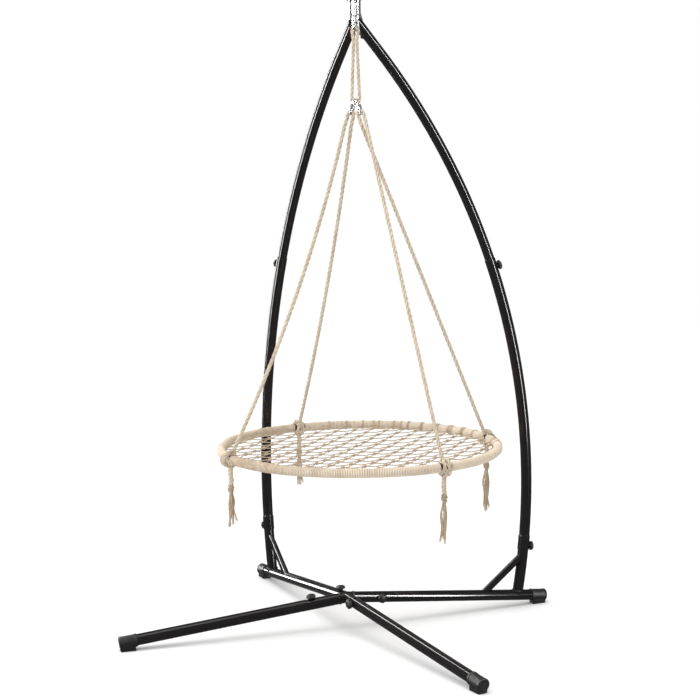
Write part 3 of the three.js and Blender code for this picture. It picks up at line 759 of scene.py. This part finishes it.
def upper_arm(hand):
    """The upper arm's tube, cut upright where it meets the bracket."""
    side = HANDS[hand]
    arm = arm_line(side)
    shape = Shape()
    shape.profiled(arm, [(ARM_SPLIT - 30 * MM, UPPER_ARM_R), (1950 * MM, UPPER_ARM_R)])
    square = shape.points[0].reshape(-1, 32, 3)
    axis = np.array([arm(height) for height in (1950 * MM, 1995 * MM)])
    ahead = unit(axis[1] - axis[0])
    ring = square[-1] + (axis[1] - axis[0])
    # Each point of the last ring runs on along the tube until it meets the upright plane.
    tip = ring + ahead * ((side * STRAP_FACE - ring[:, 0]) / ahead[0])[:, None]
    bevel = tip - ahead * (1.2 * MM) / abs(ahead[0])
    middle = tip.mean(0)
    rim = middle + (tip - middle) * (1 - 1.1 * MM / UPPER_ARM_R)
    rings = [*square[-1:], ring, bevel, rim]
    shape.skin(rings, [0, 0.045, 0.09, 0.092], 2 * math.pi * UPPER_ARM_R)
    return shape


def foot_cap(name):
    """Moulded cap: a ribbed cup over the leg's end, with a flat pad moulded under it."""
    angle = LEGS[name][0]
    outward, _, _ = leg_axes(angle)
    start = LEG_LENGTH - CAP_LENGTH
    profile = [(start, LEG_R), (start, CAP_R - 0.8 * MM), (start + 0.8 * MM, CAP_R), (start + 7 * MM, CAP_R)]
    profile += [(start + 8 * MM, CAP_R - 1 * MM), (LEG_LENGTH - 10 * MM, CAP_R - 1 * MM)]
    profile += [(LEG_LENGTH - 9 * MM, CAP_R), (LEG_LENGTH - 2.5 * MM, CAP_R)]
    profile += [(LEG_LENGTH - 0.8 * MM, CAP_R - 0.9 * MM), (LEG_LENGTH, CAP_R - 2.8 * MM)]
    profile += [(LEG_LENGTH, CAP_R - 5 * MM), (LEG_LENGTH - 1.4 * MM, CAP_R - 6 * MM)]
    profile += [(LEG_LENGTH - 1.4 * MM, 1 * MM)]
    shape = Shape()
    shape.profiled(leg_line(angle), profile, 40)
    flat = unit([outward[0], outward[1], 0])
    across = np.array([-flat[1], flat[0], 0])
    length = PAD_LENGTH / MM
    stations = [(0, 4), (1.5, 1.2), (4, 0), (length - 4, 0), (length - 1.5, 1.2), (length, 4)]
    rings = []
    for place, inset in stations:
        half = PAD_HALF_WIDTH - inset * 0.5 * MM
        corner = 2.5 * MM
        centre = np.array([0, HUB_Y, 0]) + flat * (LEG_REACH - 4 * MM - PAD_LENGTH + place * MM)
        outline = [(half, LEG_END_HEIGHT), (-half, LEG_END_HEIGHT), (-half, corner)]
        outline += [(-half + 0.7 * MM, 0.7 * MM)]
        outline += [(-half + corner, 0), (half - corner, 0), (half - 0.7 * MM, 0.7 * MM), (half, corner)]
        rings.append([centre - across * x + np.array([0, 0, z]) for x, z in outline])
    shape.skin(rings, [place * MM for place, _ in stations], 0.12)
    return shape


def knob(point, outward, surface):
    """Fluted plastic knob on a steel neck."""
    seat = np.asarray(point) + unit(outward) * (surface + GAP)
    profile = [(-6 * MM, 4 * MM), (0, 4 * MM), (0, 8.6 * MM), (0.5 * MM, 9 * MM), (2.6 * MM, 9 * MM)]
    profile += [(3.2 * MM, 14.6 * MM), (4.2 * MM, 16.4 * MM), (7 * MM, 17 * MM), (10 * MM, 16.6 * MM)]
    profile += [(12.6 * MM, 14.6 * MM), (14.6 * MM, 10.6 * MM), (15.6 * MM, 5.4 * MM), (16 * MM, 1 * MM)]
    shape = Shape()
    shape.turned(seat, outward, profile, 64, flute=(8, 2 * MM, 3.1 * MM, 13 * MM))
    return shape


def make_stand():
    finish_piece(hub(), "hub_cross", "black_paint", "stand")
    for hand, side in HANDS.items():
        finish_piece(leg_tube("front_" + hand), "front_leg_" + hand, "black_paint", "stand")
        finish_piece(rear_leg(hand), "rear_leg_" + hand, "black_paint", "stand")
        finish_piece(lower_arm(hand), "lower_arm_" + hand, "black_paint", "stand")
        finish_piece(upper_arm(hand), "upper_arm_" + hand, "black_paint", "stand")
        for kind, height, surface in (("post", POST_KNOB, COLLAR_R), ("arm", ARM_KNOB, LEG_R)):
            shape = knob(arm_line(side)(height), arm_outward(side, height), surface)
            finish_piece(shape, f"{kind}_knob_{hand}", "black_plastic", "stand")
    for name, (angle, _, place, on_top) in LEGS.items():
        _, across, up = leg_axes(angle)
        shape = knob(leg_line(angle)(place), up if on_top else -across, LEG_R)
        finish_piece(shape, "hub_knob_" + name, "black_plastic", "stand")
        finish_piece(foot_cap(name), "foot_cap_" + name, "black_plastic", "stand")


make_stand()

# ---------------------------------------------------------------- apex: bracket, hanger and screws

ALONG_X = np.array([1.0, 0, 0])


def hexagon_head(shape, origin, direction, start, stop, radius):
    """A hexagon head with its corners chamfered."""
    soft = 0.7 * MM
    profile = [(start, radius - soft), (start + 0.4 * soft, radius)]
    profile += [(stop - 0.6 * soft, radius), (stop, radius - soft)]
    shape.turned(origin, direction, profile, 6)


def bracket():
    """A folded strap whose edges follow the CAD outline, with rounded edges."""
    edge_heights = [2022, 2074, 2084, 2108, STRAP_BEND / MM]
    front = dict(zip(edge_heights, (14, 14, -13, -13, -13)))
    rear = dict(zip(edge_heights, (34, 34, 34, 13, 13)))
    middle = STRAP_INNER + STRAP / 2
    rows = [((1, 0), (middle, height * MM), front[height], rear[height]) for height in edge_heights]
    for turn in np.radians(np.linspace(0, 180, 25))[1:-1]:
        way = (math.cos(turn), math.sin(turn))
        rows.append((way, (middle * way[0], STRAP_BEND + middle * way[1]), -13, 13))
    rows += [((-1, 0), (-middle, height * MM), front[height], rear[height]) for height in edge_heights[::-1]]
    half, soft = STRAP / 2, 0.7 * MM
    rings = []
    for (out_x, out_z), (x, z), low, high in rows:
        low, high = low * MM, high * MM
        section = [(-half, low + soft), (-half + soft, low), (half - soft, low), (half, low + soft)]
        section += [(half, high - soft), (half - soft, high), (-half + soft, high), (-half, high - soft)]
        rings.append([(x + out * out_x, AXIS_Y + y, z + out * out_z) for out, y in section])
    shape = Shape()
    shape.skin(rings, distances(np.array(rings)[:, 0]), 0.06)
    return shape


def make_apex():
    finish_piece(bracket(), "apex_bracket", "zinc", "stand")
    hanger = np.array([0, AXIS_Y, HANGER_HEIGHT])
    bolt = Shape()
    shank = [(-STRAP_FACE - 12 * MM, 4.2 * MM), (-STRAP_FACE - 11.2 * MM, HANGER_R), (STRAP_FACE, HANGER_R)]
    bolt.turned(hanger, ALONG_X, shank)
    hexagon_head(bolt, hanger, ALONG_X, STRAP_FACE, STRAP_FACE + 6.4 * MM, 9 * MM)
    finish_piece(bolt, "hanger_bolt", "zinc", "stand")
    nut = Shape()
    hexagon_head(nut, hanger, -ALONG_X, STRAP_FACE, STRAP_FACE + 8 * MM, 9 * MM)
    finish_piece(nut, "hanger_nut", "zinc", "stand")
    sleeve = Shape()
    end = STRAP_INNER - GAP
    flange = BUSHING_R
    waist = BUSHING_R - 0.8 * MM
    profile = [(-end, flange - 1 * MM), (-end + 0.6 * MM, flange), (-end + 3 * MM, flange)]
    profile += [(-end + 4 * MM, waist)]
    profile += [(-place, radius) for place, radius in profile[::-1]]
    sleeve.turned(hanger, ALONG_X, profile)
    finish_piece(sleeve, "hanger_bushing", "bushing", "stand")
    for hand, side in HANDS.items():
        place = np.array([0, AXIS_Y + SCREW_BACK, SCREW_HEIGHT])
        screw = Shape()
        hexagon_head(screw, place, side * ALONG_X, 8 * MM, STRAP_INNER - GAP, 7.5 * MM)
        screw.turned(place, side * ALONG_X, [(STRAP_INNER - 1 * MM, 4 * MM), (27 * MM, 4 * MM)])
        finish_piece(screw, "apex_screw_" + hand, "zinc", "stand")


make_apex()

# ---------------------------------------------------------------- snap hook, gate and links


def make_hook():
    outline = [(HOOK_BOW, NOSE_HEIGHT), (HOOK_BOW, NOSE_HEIGHT + 12 * MM)]
    outline += arc((0, HOOK_TOP - HOOK_BOW), HOOK_BOW, 0, 180, 10)
    outline += arc((0, HOOK_BOTTOM + HOOK_BOW), HOOK_BOW, 180, 360, 10) + [(HOOK_BOW, GATE_HEEL)]
    path = smooth([(0, AXIS_Y + y, z) for y, z in outline], 1.5 * MM)
    radius = np.full(len(path), HOOK_WIRE)
    radius[0], radius[1], radius[-1] = HOOK_WIRE - 1 * MM, HOOK_WIRE - 0.2 * MM, HOOK_WIRE - 0.6 * MM
    body = Shape()
    body.tube(path, radius, 28)
    heel = np.array([0, AXIS_Y + HOOK_BOW, GATE_HEEL - 2 * MM])
    body.turned(heel, (0, 0, 1), [(0, 2 * MM), (8 * MM, 2 * MM), (9.5 * MM, 1.4 * MM)], 16)
    finish_piece(body, "carabiner_body", "chrome", "snap_hook")

    gate = Shape()
    pivot = np.array([0, AXIS_Y + HOOK_BOW, GATE_PIVOT])
    top = NOSE_HEIGHT - 0.6 * MM - GATE_PIVOT
    profile = [(-3 * MM, GATE_R - 1.2 * MM), (-2 * MM, GATE_R - 0.2 * MM), (-1 * MM, GATE_R)]
    profile += [(8 * MM, GATE_R), (8.6 * MM, GATE_R - 0.5 * MM), (9.4 * MM, GATE_R - 0.5 * MM)]
    profile += [(10 * MM, GATE_R), (top - 7 * MM, GATE_R), (top - 6.4 * MM, GATE_R - 0.4 * MM)]
    profile += [(top - 5.6 * MM, GATE_R - 0.4 * MM)]
    profile += [(top - 5 * MM, GATE_R), (top - 0.7 * MM, GATE_R), (top, GATE_R - 0.8 * MM)]
    gate.turned(pivot, (0, 0, 1), profile, 28)
    finish_piece(gate, "carabiner_gate", "chrome", "gate")
    pin = Shape()
    pin_profile = [(-4.6 * MM, 1 * MM), (-4.4 * MM, 1.6 * MM), (4.4 * MM, 1.6 * MM), (4.6 * MM, 1 * MM)]
    pin.turned(pivot, ALONG_X, pin_profile, 20)
    finish_piece(pin, "gate_pin", "zinc", "snap_hook")


def make_links():
    for hand, side in HANDS.items():
        outline = arc((0, -LINK_BOW), LINK_BOW, 0, 180, 12)
        outline += arc((0, LINK_BOW - LINK_SPAN), LINK_BOW, 180, 360, 12)
        path = smooth([link_point(side, 0, y, z) for y, z in outline], 1.4 * MM, loop=True)
        wire = Shape()
        wire.tube(path, LINK_WIRE, 24, loop=True)
        finish_piece(wire, "link_" + hand, "chrome", "seat")
        sleeve = Shape()
        middle = link_point(side, 0, LINK_BOW, -LINK_SPAN / 2)
        axis = link_point(side, 0, LINK_BOW, 0) - middle
        hexagon_head(sleeve, middle, axis, -9 * MM, 9 * MM, 5.8 * MM)
        for end in (-9 * MM, 7 * MM):
            sleeve.turned(middle, axis, [(end, 4.6 * MM), (end + 2 * MM, 4.6 * MM)], 24)
        finish_piece(sleeve, "link_sleeve_" + hand, "zinc", "seat")


make_hook()
make_links()

# ---------------------------------------------------------------- rim: hoop and its wrapping

WRAP_SAMPLES = 6
WRAP_SIDES = 22
HOOP_R = 9 * MM
KNOT_SPAN = math.degrees((RIM_KNOT_HALF - 2 * MM) / HOOP_RING)


def rim_wrap(node, start, stop, seed):
    """Close turns of thin cord round the hoop, as one ribbed skin. The turns lean a little and vary."""
    rng = np.random.default_rng(seed)
    span = math.radians(stop - start) * HOOP_RING
    turns = int(span / WRAP_PITCH)
    place = np.linspace(0, span, turns * WRAP_SAMPLES + 1)
    angles = start + (stop - start) * place / span
    swell = np.interp(place, np.linspace(0, span, turns), rng.normal(0, 0.16 * MM, turns))
    slack = np.interp(place, np.linspace(0, span, turns), (rng.random(turns) < 0.05) * 0.9 * MM)
    around = 2 * np.pi * np.arange(WRAP_SIDES) / WRAP_SIDES
    phase = np.pi * (place[:, None] / WRAP_PITCH - around[None] / (2 * np.pi))
    rib = np.abs(np.sin(phase)) ** 0.55
    radius = WRAP_R - 2.6 * MM + 2.6 * MM * rib + swell[:, None] - slack[:, None] * (1 - rib) * 2
    radius[[0, -1]] = HOOP_R + 2 * MM
    turn = np.radians(angles)
    outward = np.stack([np.sin(turn), np.cos(turn), 0 * turn], 1)
    centre = AXIS + outward * HOOP_RING + np.array([0, 0, SEAT_HEIGHT])
    direction = outward[:, None] * np.cos(around)[None, :, None]
    direction = direction - np.array([0, 0, 1.0]) * np.sin(around)[None, :, None]
    shape = Shape()
    shape.skin(centre[:, None] + radius[:, :, None] * direction, place, 2 * np.pi * WRAP_R)
    finish_piece(shape, node, "cotton_wrap", "seat", 75)


def make_rim():
    ends = {name: angle for name, (angle, _) in ROPE_ENDS.items()}
    spans = {
        "right": (ends["rear_right"], ends["front_right"]),
        "front": (ends["front_right"], ends["front_left"]),
        "left": (ends["front_left"], ends["rear_left"]),
        "rear": (ends["rear_left"], ends["rear_right"] + 360),
    }
    for seed, (name, (start, stop)) in enumerate(spans.items()):
        rim_wrap("rim_wrap_" + name, start + KNOT_SPAN, stop - KNOT_SPAN, seed)
    hoop = Shape()
    hoop.tube([rim_point(angle) for angle in range(0, 360, 3)], HOOP_R, 20, loop=True)
    finish_piece(hoop, "rim_hoop", "black_paint", "seat")


make_rim()

# ---------------------------------------------------------------- net

CELL = 75 * MM
FIRST_WAY = math.radians(90)  # the net's two families of cord, from +X
SECOND_WAY = math.radians(40)
NET_CORD_R = 2.3 * MM
NET_KNOT_R = 5.6 * MM
NET_LAY = 15 * MM
LASHING_R = 2 * MM
LASHED_SPAN = 75  # the net is tied over the rim this far round from straight back


def net_height(x, y):
    share = min(math.hypot(x, y) / NET_R, 1.0)
    return SEAT_HEIGHT + NET_SAG * (share**2 - 1)


def net_place(x, y):
    """A point of the net, from its place about the seat's middle."""
    return np.array([x, AXIS_Y + y, net_height(x, y)])


def net_segment(shape, start, end, rng):
    """One side of a diamond: a thin laid cord that bows and sags a little."""
    middle = (start + end) / 2
    way = unit(end - start)
    across = np.array([-way[1], way[0], 0])
    reach = np.linalg.norm(end - start)
    middle = middle + across * rng.normal(0, 0.035 * reach)
    middle = middle - np.array([0, 0, 0.03 * reach + rng.random() * 1.5 * MM])
    path = smooth([start, (start + middle) / 2 * 1.0, middle, (middle + end) / 2, end], 2.6 * MM)
    shape.twisted(path, NET_CORD_R, NET_LAY, strands=2, sides=6, phase=rng.random() * 6.3)


def net_knot(shape, place, first, second, rng):
    """A tight net knot: two half turns of each cord wound over the other."""
    up = np.array([0, 0, 1.0])
    for way, other, lift in ((first, second, 1), (second, first, -1)):
        for shift in (-1, 1):
            turns = np.linspace(0, 2 * np.pi, 14, endpoint=False) + rng.random()
            size = NET_KNOT_R * (0.62 + 0.1 * rng.random())
            across = unit(np.cross(up, way))
            ring = np.cos(turns)[:, None] * across * size + np.sin(turns)[:, None] * up * size * 0.85
            ring = ring + place + way * shift * 2.3 * MM + other * (0.8 * MM * lift)
            ring = ring + (np.sin(turns) * 1.6 * MM * shift)[:, None] * way
            shape.tube(ring, NET_CORD_R * 0.86, 7, loop=True)


def lashing(shape, angle, rng):
    """Where a net cord is tied round the rim: two proud turns over the wrapping, and a knot inside."""
    along, outward, up = rim_axes(angle)
    centre = rim_point(angle)
    for shift in (-1, 1):
        turns = np.linspace(0, 2 * np.pi, 26, endpoint=False)
        reach = WRAP_R - LASHING_R * 0.25 + rng.random() * 0.5 * MM
        ring = centre + reach * (np.cos(turns)[:, None] * outward + np.sin(turns)[:, None] * up)
        ring = ring + ((LASHING_R * 0.98 * shift) + 1.6 * MM * np.sin(turns))[:, None] * along
        shape.tube(ring, LASHING_R, 7, loop=True)


def rim_angle(point):
    return math.degrees(math.atan2(point[0], point[1] - AXIS_Y)) % 360


def net_lines():
    """Both families of lines, each as (points in order along it, its way)."""
    ways = [np.array([math.cos(turn), math.sin(turn)]) for turn in (FIRST_WAY, SECOND_WAY)]
    reach = int(2.6 * NET_R / CELL)
    lines = []
    for index, way in enumerate(ways):
        other = ways[1 - index]
        for row in range(-reach, reach + 1):
            base = other * CELL * (row + 0.35)
            along = base @ way
            square = base @ base - along**2
            if square >= (NET_R * 0.97) ** 2:
                continue
            half = math.sqrt(NET_R**2 - square)
            inside = [base + way * CELL * (k + 0.35) for k in range(-reach * 2, reach * 2)]
            inside = [p for p in inside if np.linalg.norm(p) < NET_R - 16 * MM]
            foot = base - way * along
            lines.append(([foot - way * half, *inside, foot + way * half], way))
    return lines, ways


def make_net():
    rng = np.random.default_rng(7)
    lines, (first, second) = net_lines()
    first3, second3 = np.array([*first, 0]), np.array([*second, 0])
    shape = Shape()
    knots = {}
    ends = []
    for points, _ in lines:
        places = [net_place(*point) for point in points]
        for a, b in zip(places, places[1:]):
            if np.linalg.norm(b - a) > 6 * MM:
                net_segment(shape, a, b, rng)
        for point, place in zip(points[1:-1], places[1:-1]):
            knots[(round(point[0], 4), round(point[1], 4))] = place
        ends += [places[0], places[-1]]
    for place in knots.values():
        net_knot(shape, place, first3, second3, rng)
    for place in ends:
        angle = rim_angle(place)
        clear = min(abs((angle - knot + 180) % 360 - 180) for knot, _ in ROPE_ENDS.values())
        if clear > 2.6 * KNOT_SPAN:
            net_knot(shape, place, first3, second3, rng)
            if abs((angle + 180) % 360 - 180) < LASHED_SPAN:
                lashing(shape, angle, rng)
    finish_piece(shape, "net", "cotton_net", "seat")


make_net()

# ---------------------------------------------------------------- rim knots, tails and tassels


def rope_hitch(name, angle):
    """The rope's hitch round the hoop: two turns, a crossing over them, and the way out below."""
    along, outward, up = rim_axes(angle)
    centre = rim_point(angle)
    route = [(0, -30, 30), (-6, 15, 24), (-11, 80, 17), (-12, 170, 16), (-11, 260, 17), (-5, 325, 20)]
    route += [(5, 375, 23), (11, 440, 18), (12, 530, 16), (11, 610, 17), (5, 665, 22), (-3, 710, 27)]
    route += [(-6, 760, 27), (-2, 815, 25), (1, 860, 24), (0, 900, 27)]
    points = []
    for shift, degrees, reach in route:
        turn = math.radians(degrees)
        swing = outward * math.sin(turn) + up * math.cos(turn)
        points.append(centre + along * shift * MM + swing * reach * MM)
    shape = Shape()
    shape.twisted(smooth(points, 2.6 * MM), ROPE_R, ROPE_LAY * 0.8, sides=8)
    # A thinner cord binds the crossing.
    binding = []
    for k in range(44):
        turn = 2 * math.pi * k / 13
        round_rim = outward * (3 + 27 * math.cos(turn)) * MM + up * (-4 + 23 * math.sin(turn)) * MM
        binding.append(centre + round_rim + along * (-16 + 0.75 * k) * MM)
    shape.twisted(smooth(binding, 2.6 * MM), 3 * MM, 14 * MM, strands=2, sides=6)
    finish_piece(shape, "rim_knot_" + name, "cotton_rope", "seat")


TAIL_LAY = 40 * MM


def tail(name, angle):
    """The rope's short end below its hitch."""
    top = rim_point(angle) - np.array([0, 0, RIM_KNOT_R - 3 * MM])
    rng = random.Random(name)
    points = []
    for k in range(5):
        drop = k / 4 * (TAIL_LENGTH + 4 * MM)
        sway = 1.2 * MM * k
        points.append(top + np.array([rng.uniform(-1, 1) * sway / 2, rng.uniform(-1, 1) * sway / 2, -drop]))
    points[-1][:2] = top[:2]
    shape = Shape()
    shape.twisted(smooth(points, 3 * MM), TAIL_R * 1.04, TAIL_LAY, sides=12)
    finish_piece(shape, "tail_" + name, "cotton_rope", "seat")


STRANDS = 6
STRAND_R = 3.3 * MM
FRAYS = 16
FRAY_R = 0.6 * MM


def tassel(name, angle, length):
    """A whipped knot and the rope's strands hanging loose below it, each frayed at its end."""
    rng = random.Random("tassel " + name)
    top = rim_point(angle) - np.array([0, 0, RIM_KNOT_R + TAIL_LENGTH + 2 * GAP])
    shape = Shape()
    down = np.array([0, 0, -1.0])
    # The knot: a rope's overhand turns, seen as three fat rings that lean against each other.
    for drop, radius, lean in ((5, 7, 0.35), (12, 8.4, -0.4), (19, 7.2, 0.3)):
        turns = np.linspace(0, 2 * np.pi, 20, endpoint=False)
        tilt = lean * np.cos(turns + rng.uniform(0, 6))
        ring = np.stack([np.cos(turns), np.sin(turns), tilt], 1) * radius * MM
        shape.twisted(top + down * drop * MM + ring, 4.2 * MM, 16 * MM, strands=2, sides=7, loop=True)
    shape.twisted(smooth([top, top + down * 26 * MM], 3 * MM), TAIL_R, TAIL_LAY)
    for strand in range(STRANDS):
        turn = 2 * math.pi * strand / STRANDS + rng.uniform(-0.3, 0.3)
        way = np.array([math.cos(turn), math.sin(turn), 0])
        reach = length * rng.uniform(0.72, 0.96)
        spread = rng.uniform(7, 13) * MM
        points = []
        for share, width in ((0, 0.25), (0.15, 0.5), (0.4, 1.0), (0.7, 0.75), (1, rng.uniform(0.3, 1.4))):
            drift = np.array([rng.uniform(-2, 2), rng.uniform(-2, 2), 0]) * MM * share
            drop = 20 * MM + (reach - 20 * MM) * share
            points.append(top + way * (spread * width) + drift + down * drop)
        path = smooth(points, 3 * MM)
        shape.twisted(path, STRAND_R, 46 * MM, strands=3, sides=7)
        tip, way_down = path[-1], unit(path[-1] - path[-4])
        for _ in range(FRAYS):
            flare = unit(way_down + np.array([rng.uniform(-0.3, 0.3) for _ in range(3)]))
            start = tip - way_down * rng.uniform(0, 6) * MM
            start = start + np.array([rng.uniform(-1.5, 1.5) * MM for _ in range(3)])
            fray = min(rng.uniform(12, 26) * MM, max(length + 2 * MM - (top[2] - start[2]), 4 * MM))
            bend = np.array([rng.uniform(-2, 2) * MM, rng.uniform(-2, 2) * MM, 0])
            hair = smooth([start, start + flare * fray / 2 + bend, start + flare * fray], 3 * MM)
            shape.tube(hair, np.linspace(FRAY_R, FRAY_R * 0.3, len(hair)), 5)
    finish_piece(shape, "tassel_" + name, "cotton_strand", "seat")


for end_name, (end_angle, tassel_length) in ROPE_ENDS.items():
    rope_hitch(end_name, end_angle)
    tail(end_name, end_angle)
    tassel(end_name, end_angle, tassel_length)

# ---------------------------------------------------------------- studio

FLOOR_HALF = 14
# How bright the white surroundings are as light on matt surfaces, to the camera, and in reflections.
WORLD_FILL = 0.5
WORLD_SEEN = 1.0
WORLD_IN_GLOSS = 0.16
SKY_STRENGTH = 2.25  # evens the floor out to the horizon
SKY_SPREAD = 100  # degrees, so that its shadows are soft
STRIP_HEIGHT = 6.0


def make_floor():
    mesh = bpy.data.meshes.new("floor")
    corners = [(-1, -1), (1, -1), (1, 1), (-1, 1)]
    mesh.from_pydata([(x * FLOOR_HALF, y * FLOOR_HALF, 0) for x, y in corners], [], [(0, 1, 2, 3)])
    look = Look("floor_look", Base_Color=(0.93, 0.93, 0.93, 1), Roughness=0.85, Specular_IOR_Level=0.1)
    mesh.materials.append(look.material)
    floor = bpy.data.objects.new("floor", mesh)
    floor.visible_glossy = False  # so that dark paint isn't washed out by it
    bpy.context.scene.collection.objects.link(floor)


def soft_box(name, place, target, size, power):
    data = bpy.data.lights.new(name, "AREA")
    data.shape = "RECTANGLE"
    data.size, data.size_y = size
    data.energy = power
    light = bpy.data.objects.new(name, data)
    light.location = place
    light.rotation_euler = (Vector(target) - Vector(place)).to_track_quat("-Z", "Y").to_euler()
    bpy.context.scene.collection.objects.link(light)
    return light


def gloss_strip(name, place, width, power):
    """An upright strip that draws a crisp light line along a dark tube. It lights no matt surface."""
    half = STRIP_HEIGHT / 2
    light = soft_box(name, (*place, half), (0, 0, half), (width, STRIP_HEIGHT), power)
    light.visible_diffuse = False


def make_world():
    """White surroundings that light the swing softly. Gloss sees them dim, so that dark paint stays dark."""
    world = bpy.data.worlds.new("studio")
    world.use_nodes = True
    nodes, links = world.node_tree.nodes, world.node_tree.links
    rays = nodes.new("ShaderNodeLightPath")
    strengths = []
    for strength in (WORLD_FILL, WORLD_SEEN, WORLD_IN_GLOSS):
        background = nodes.new("ShaderNodeBackground")
        background.inputs["Strength"].default_value = strength
        background.inputs["Color"].default_value = (1, 1, 1, 1)
        strengths.append(background.outputs["Background"])
    shown = strengths[0]
    for ray, seen in zip(("Is Camera Ray", "Is Glossy Ray"), strengths[1:]):
        mix = nodes.new("ShaderNodeMixShader")
        links.new(rays.outputs[ray], mix.inputs["Fac"])
        links.new(shown, mix.inputs[1])
        links.new(seen, mix.inputs[2])
        shown = mix.outputs["Shader"]
    links.new(shown, nodes["World Output"].inputs["Surface"])
    bpy.context.scene.world = world


def make_studio():
    make_world()
    bpy.context.scene.view_settings.view_transform = "Standard"
    middle = (0, 0, 1.0)
    soft_box("key", (-2.6, -3.4, 3.6), middle, (1.6, 2.4), 30)
    gloss_strip("left_strip", (-3.6, -2.4), 0.35, 420)
    gloss_strip("right_strip", (4.4, -1.2), 0.3, 340)
    gloss_strip("edge_strip", (-3.6, 1.4), 0.5, 260)
    soft_box("top", (0.3, -0.3, 4.6), middle, (2.6, 2.6), 40)
    sky = bpy.data.lights.new("sky", "SUN")
    sky.energy = SKY_STRENGTH
    sky.angle = math.radians(SKY_SPREAD)
    sky_object = bpy.data.objects.new("sky", sky)
    sky_object.rotation_euler = (math.radians(24), math.radians(-18), 0)
    sky_object.visible_glossy = False
    bpy.context.scene.collection.objects.link(sky_object)


make_floor()
make_studio()
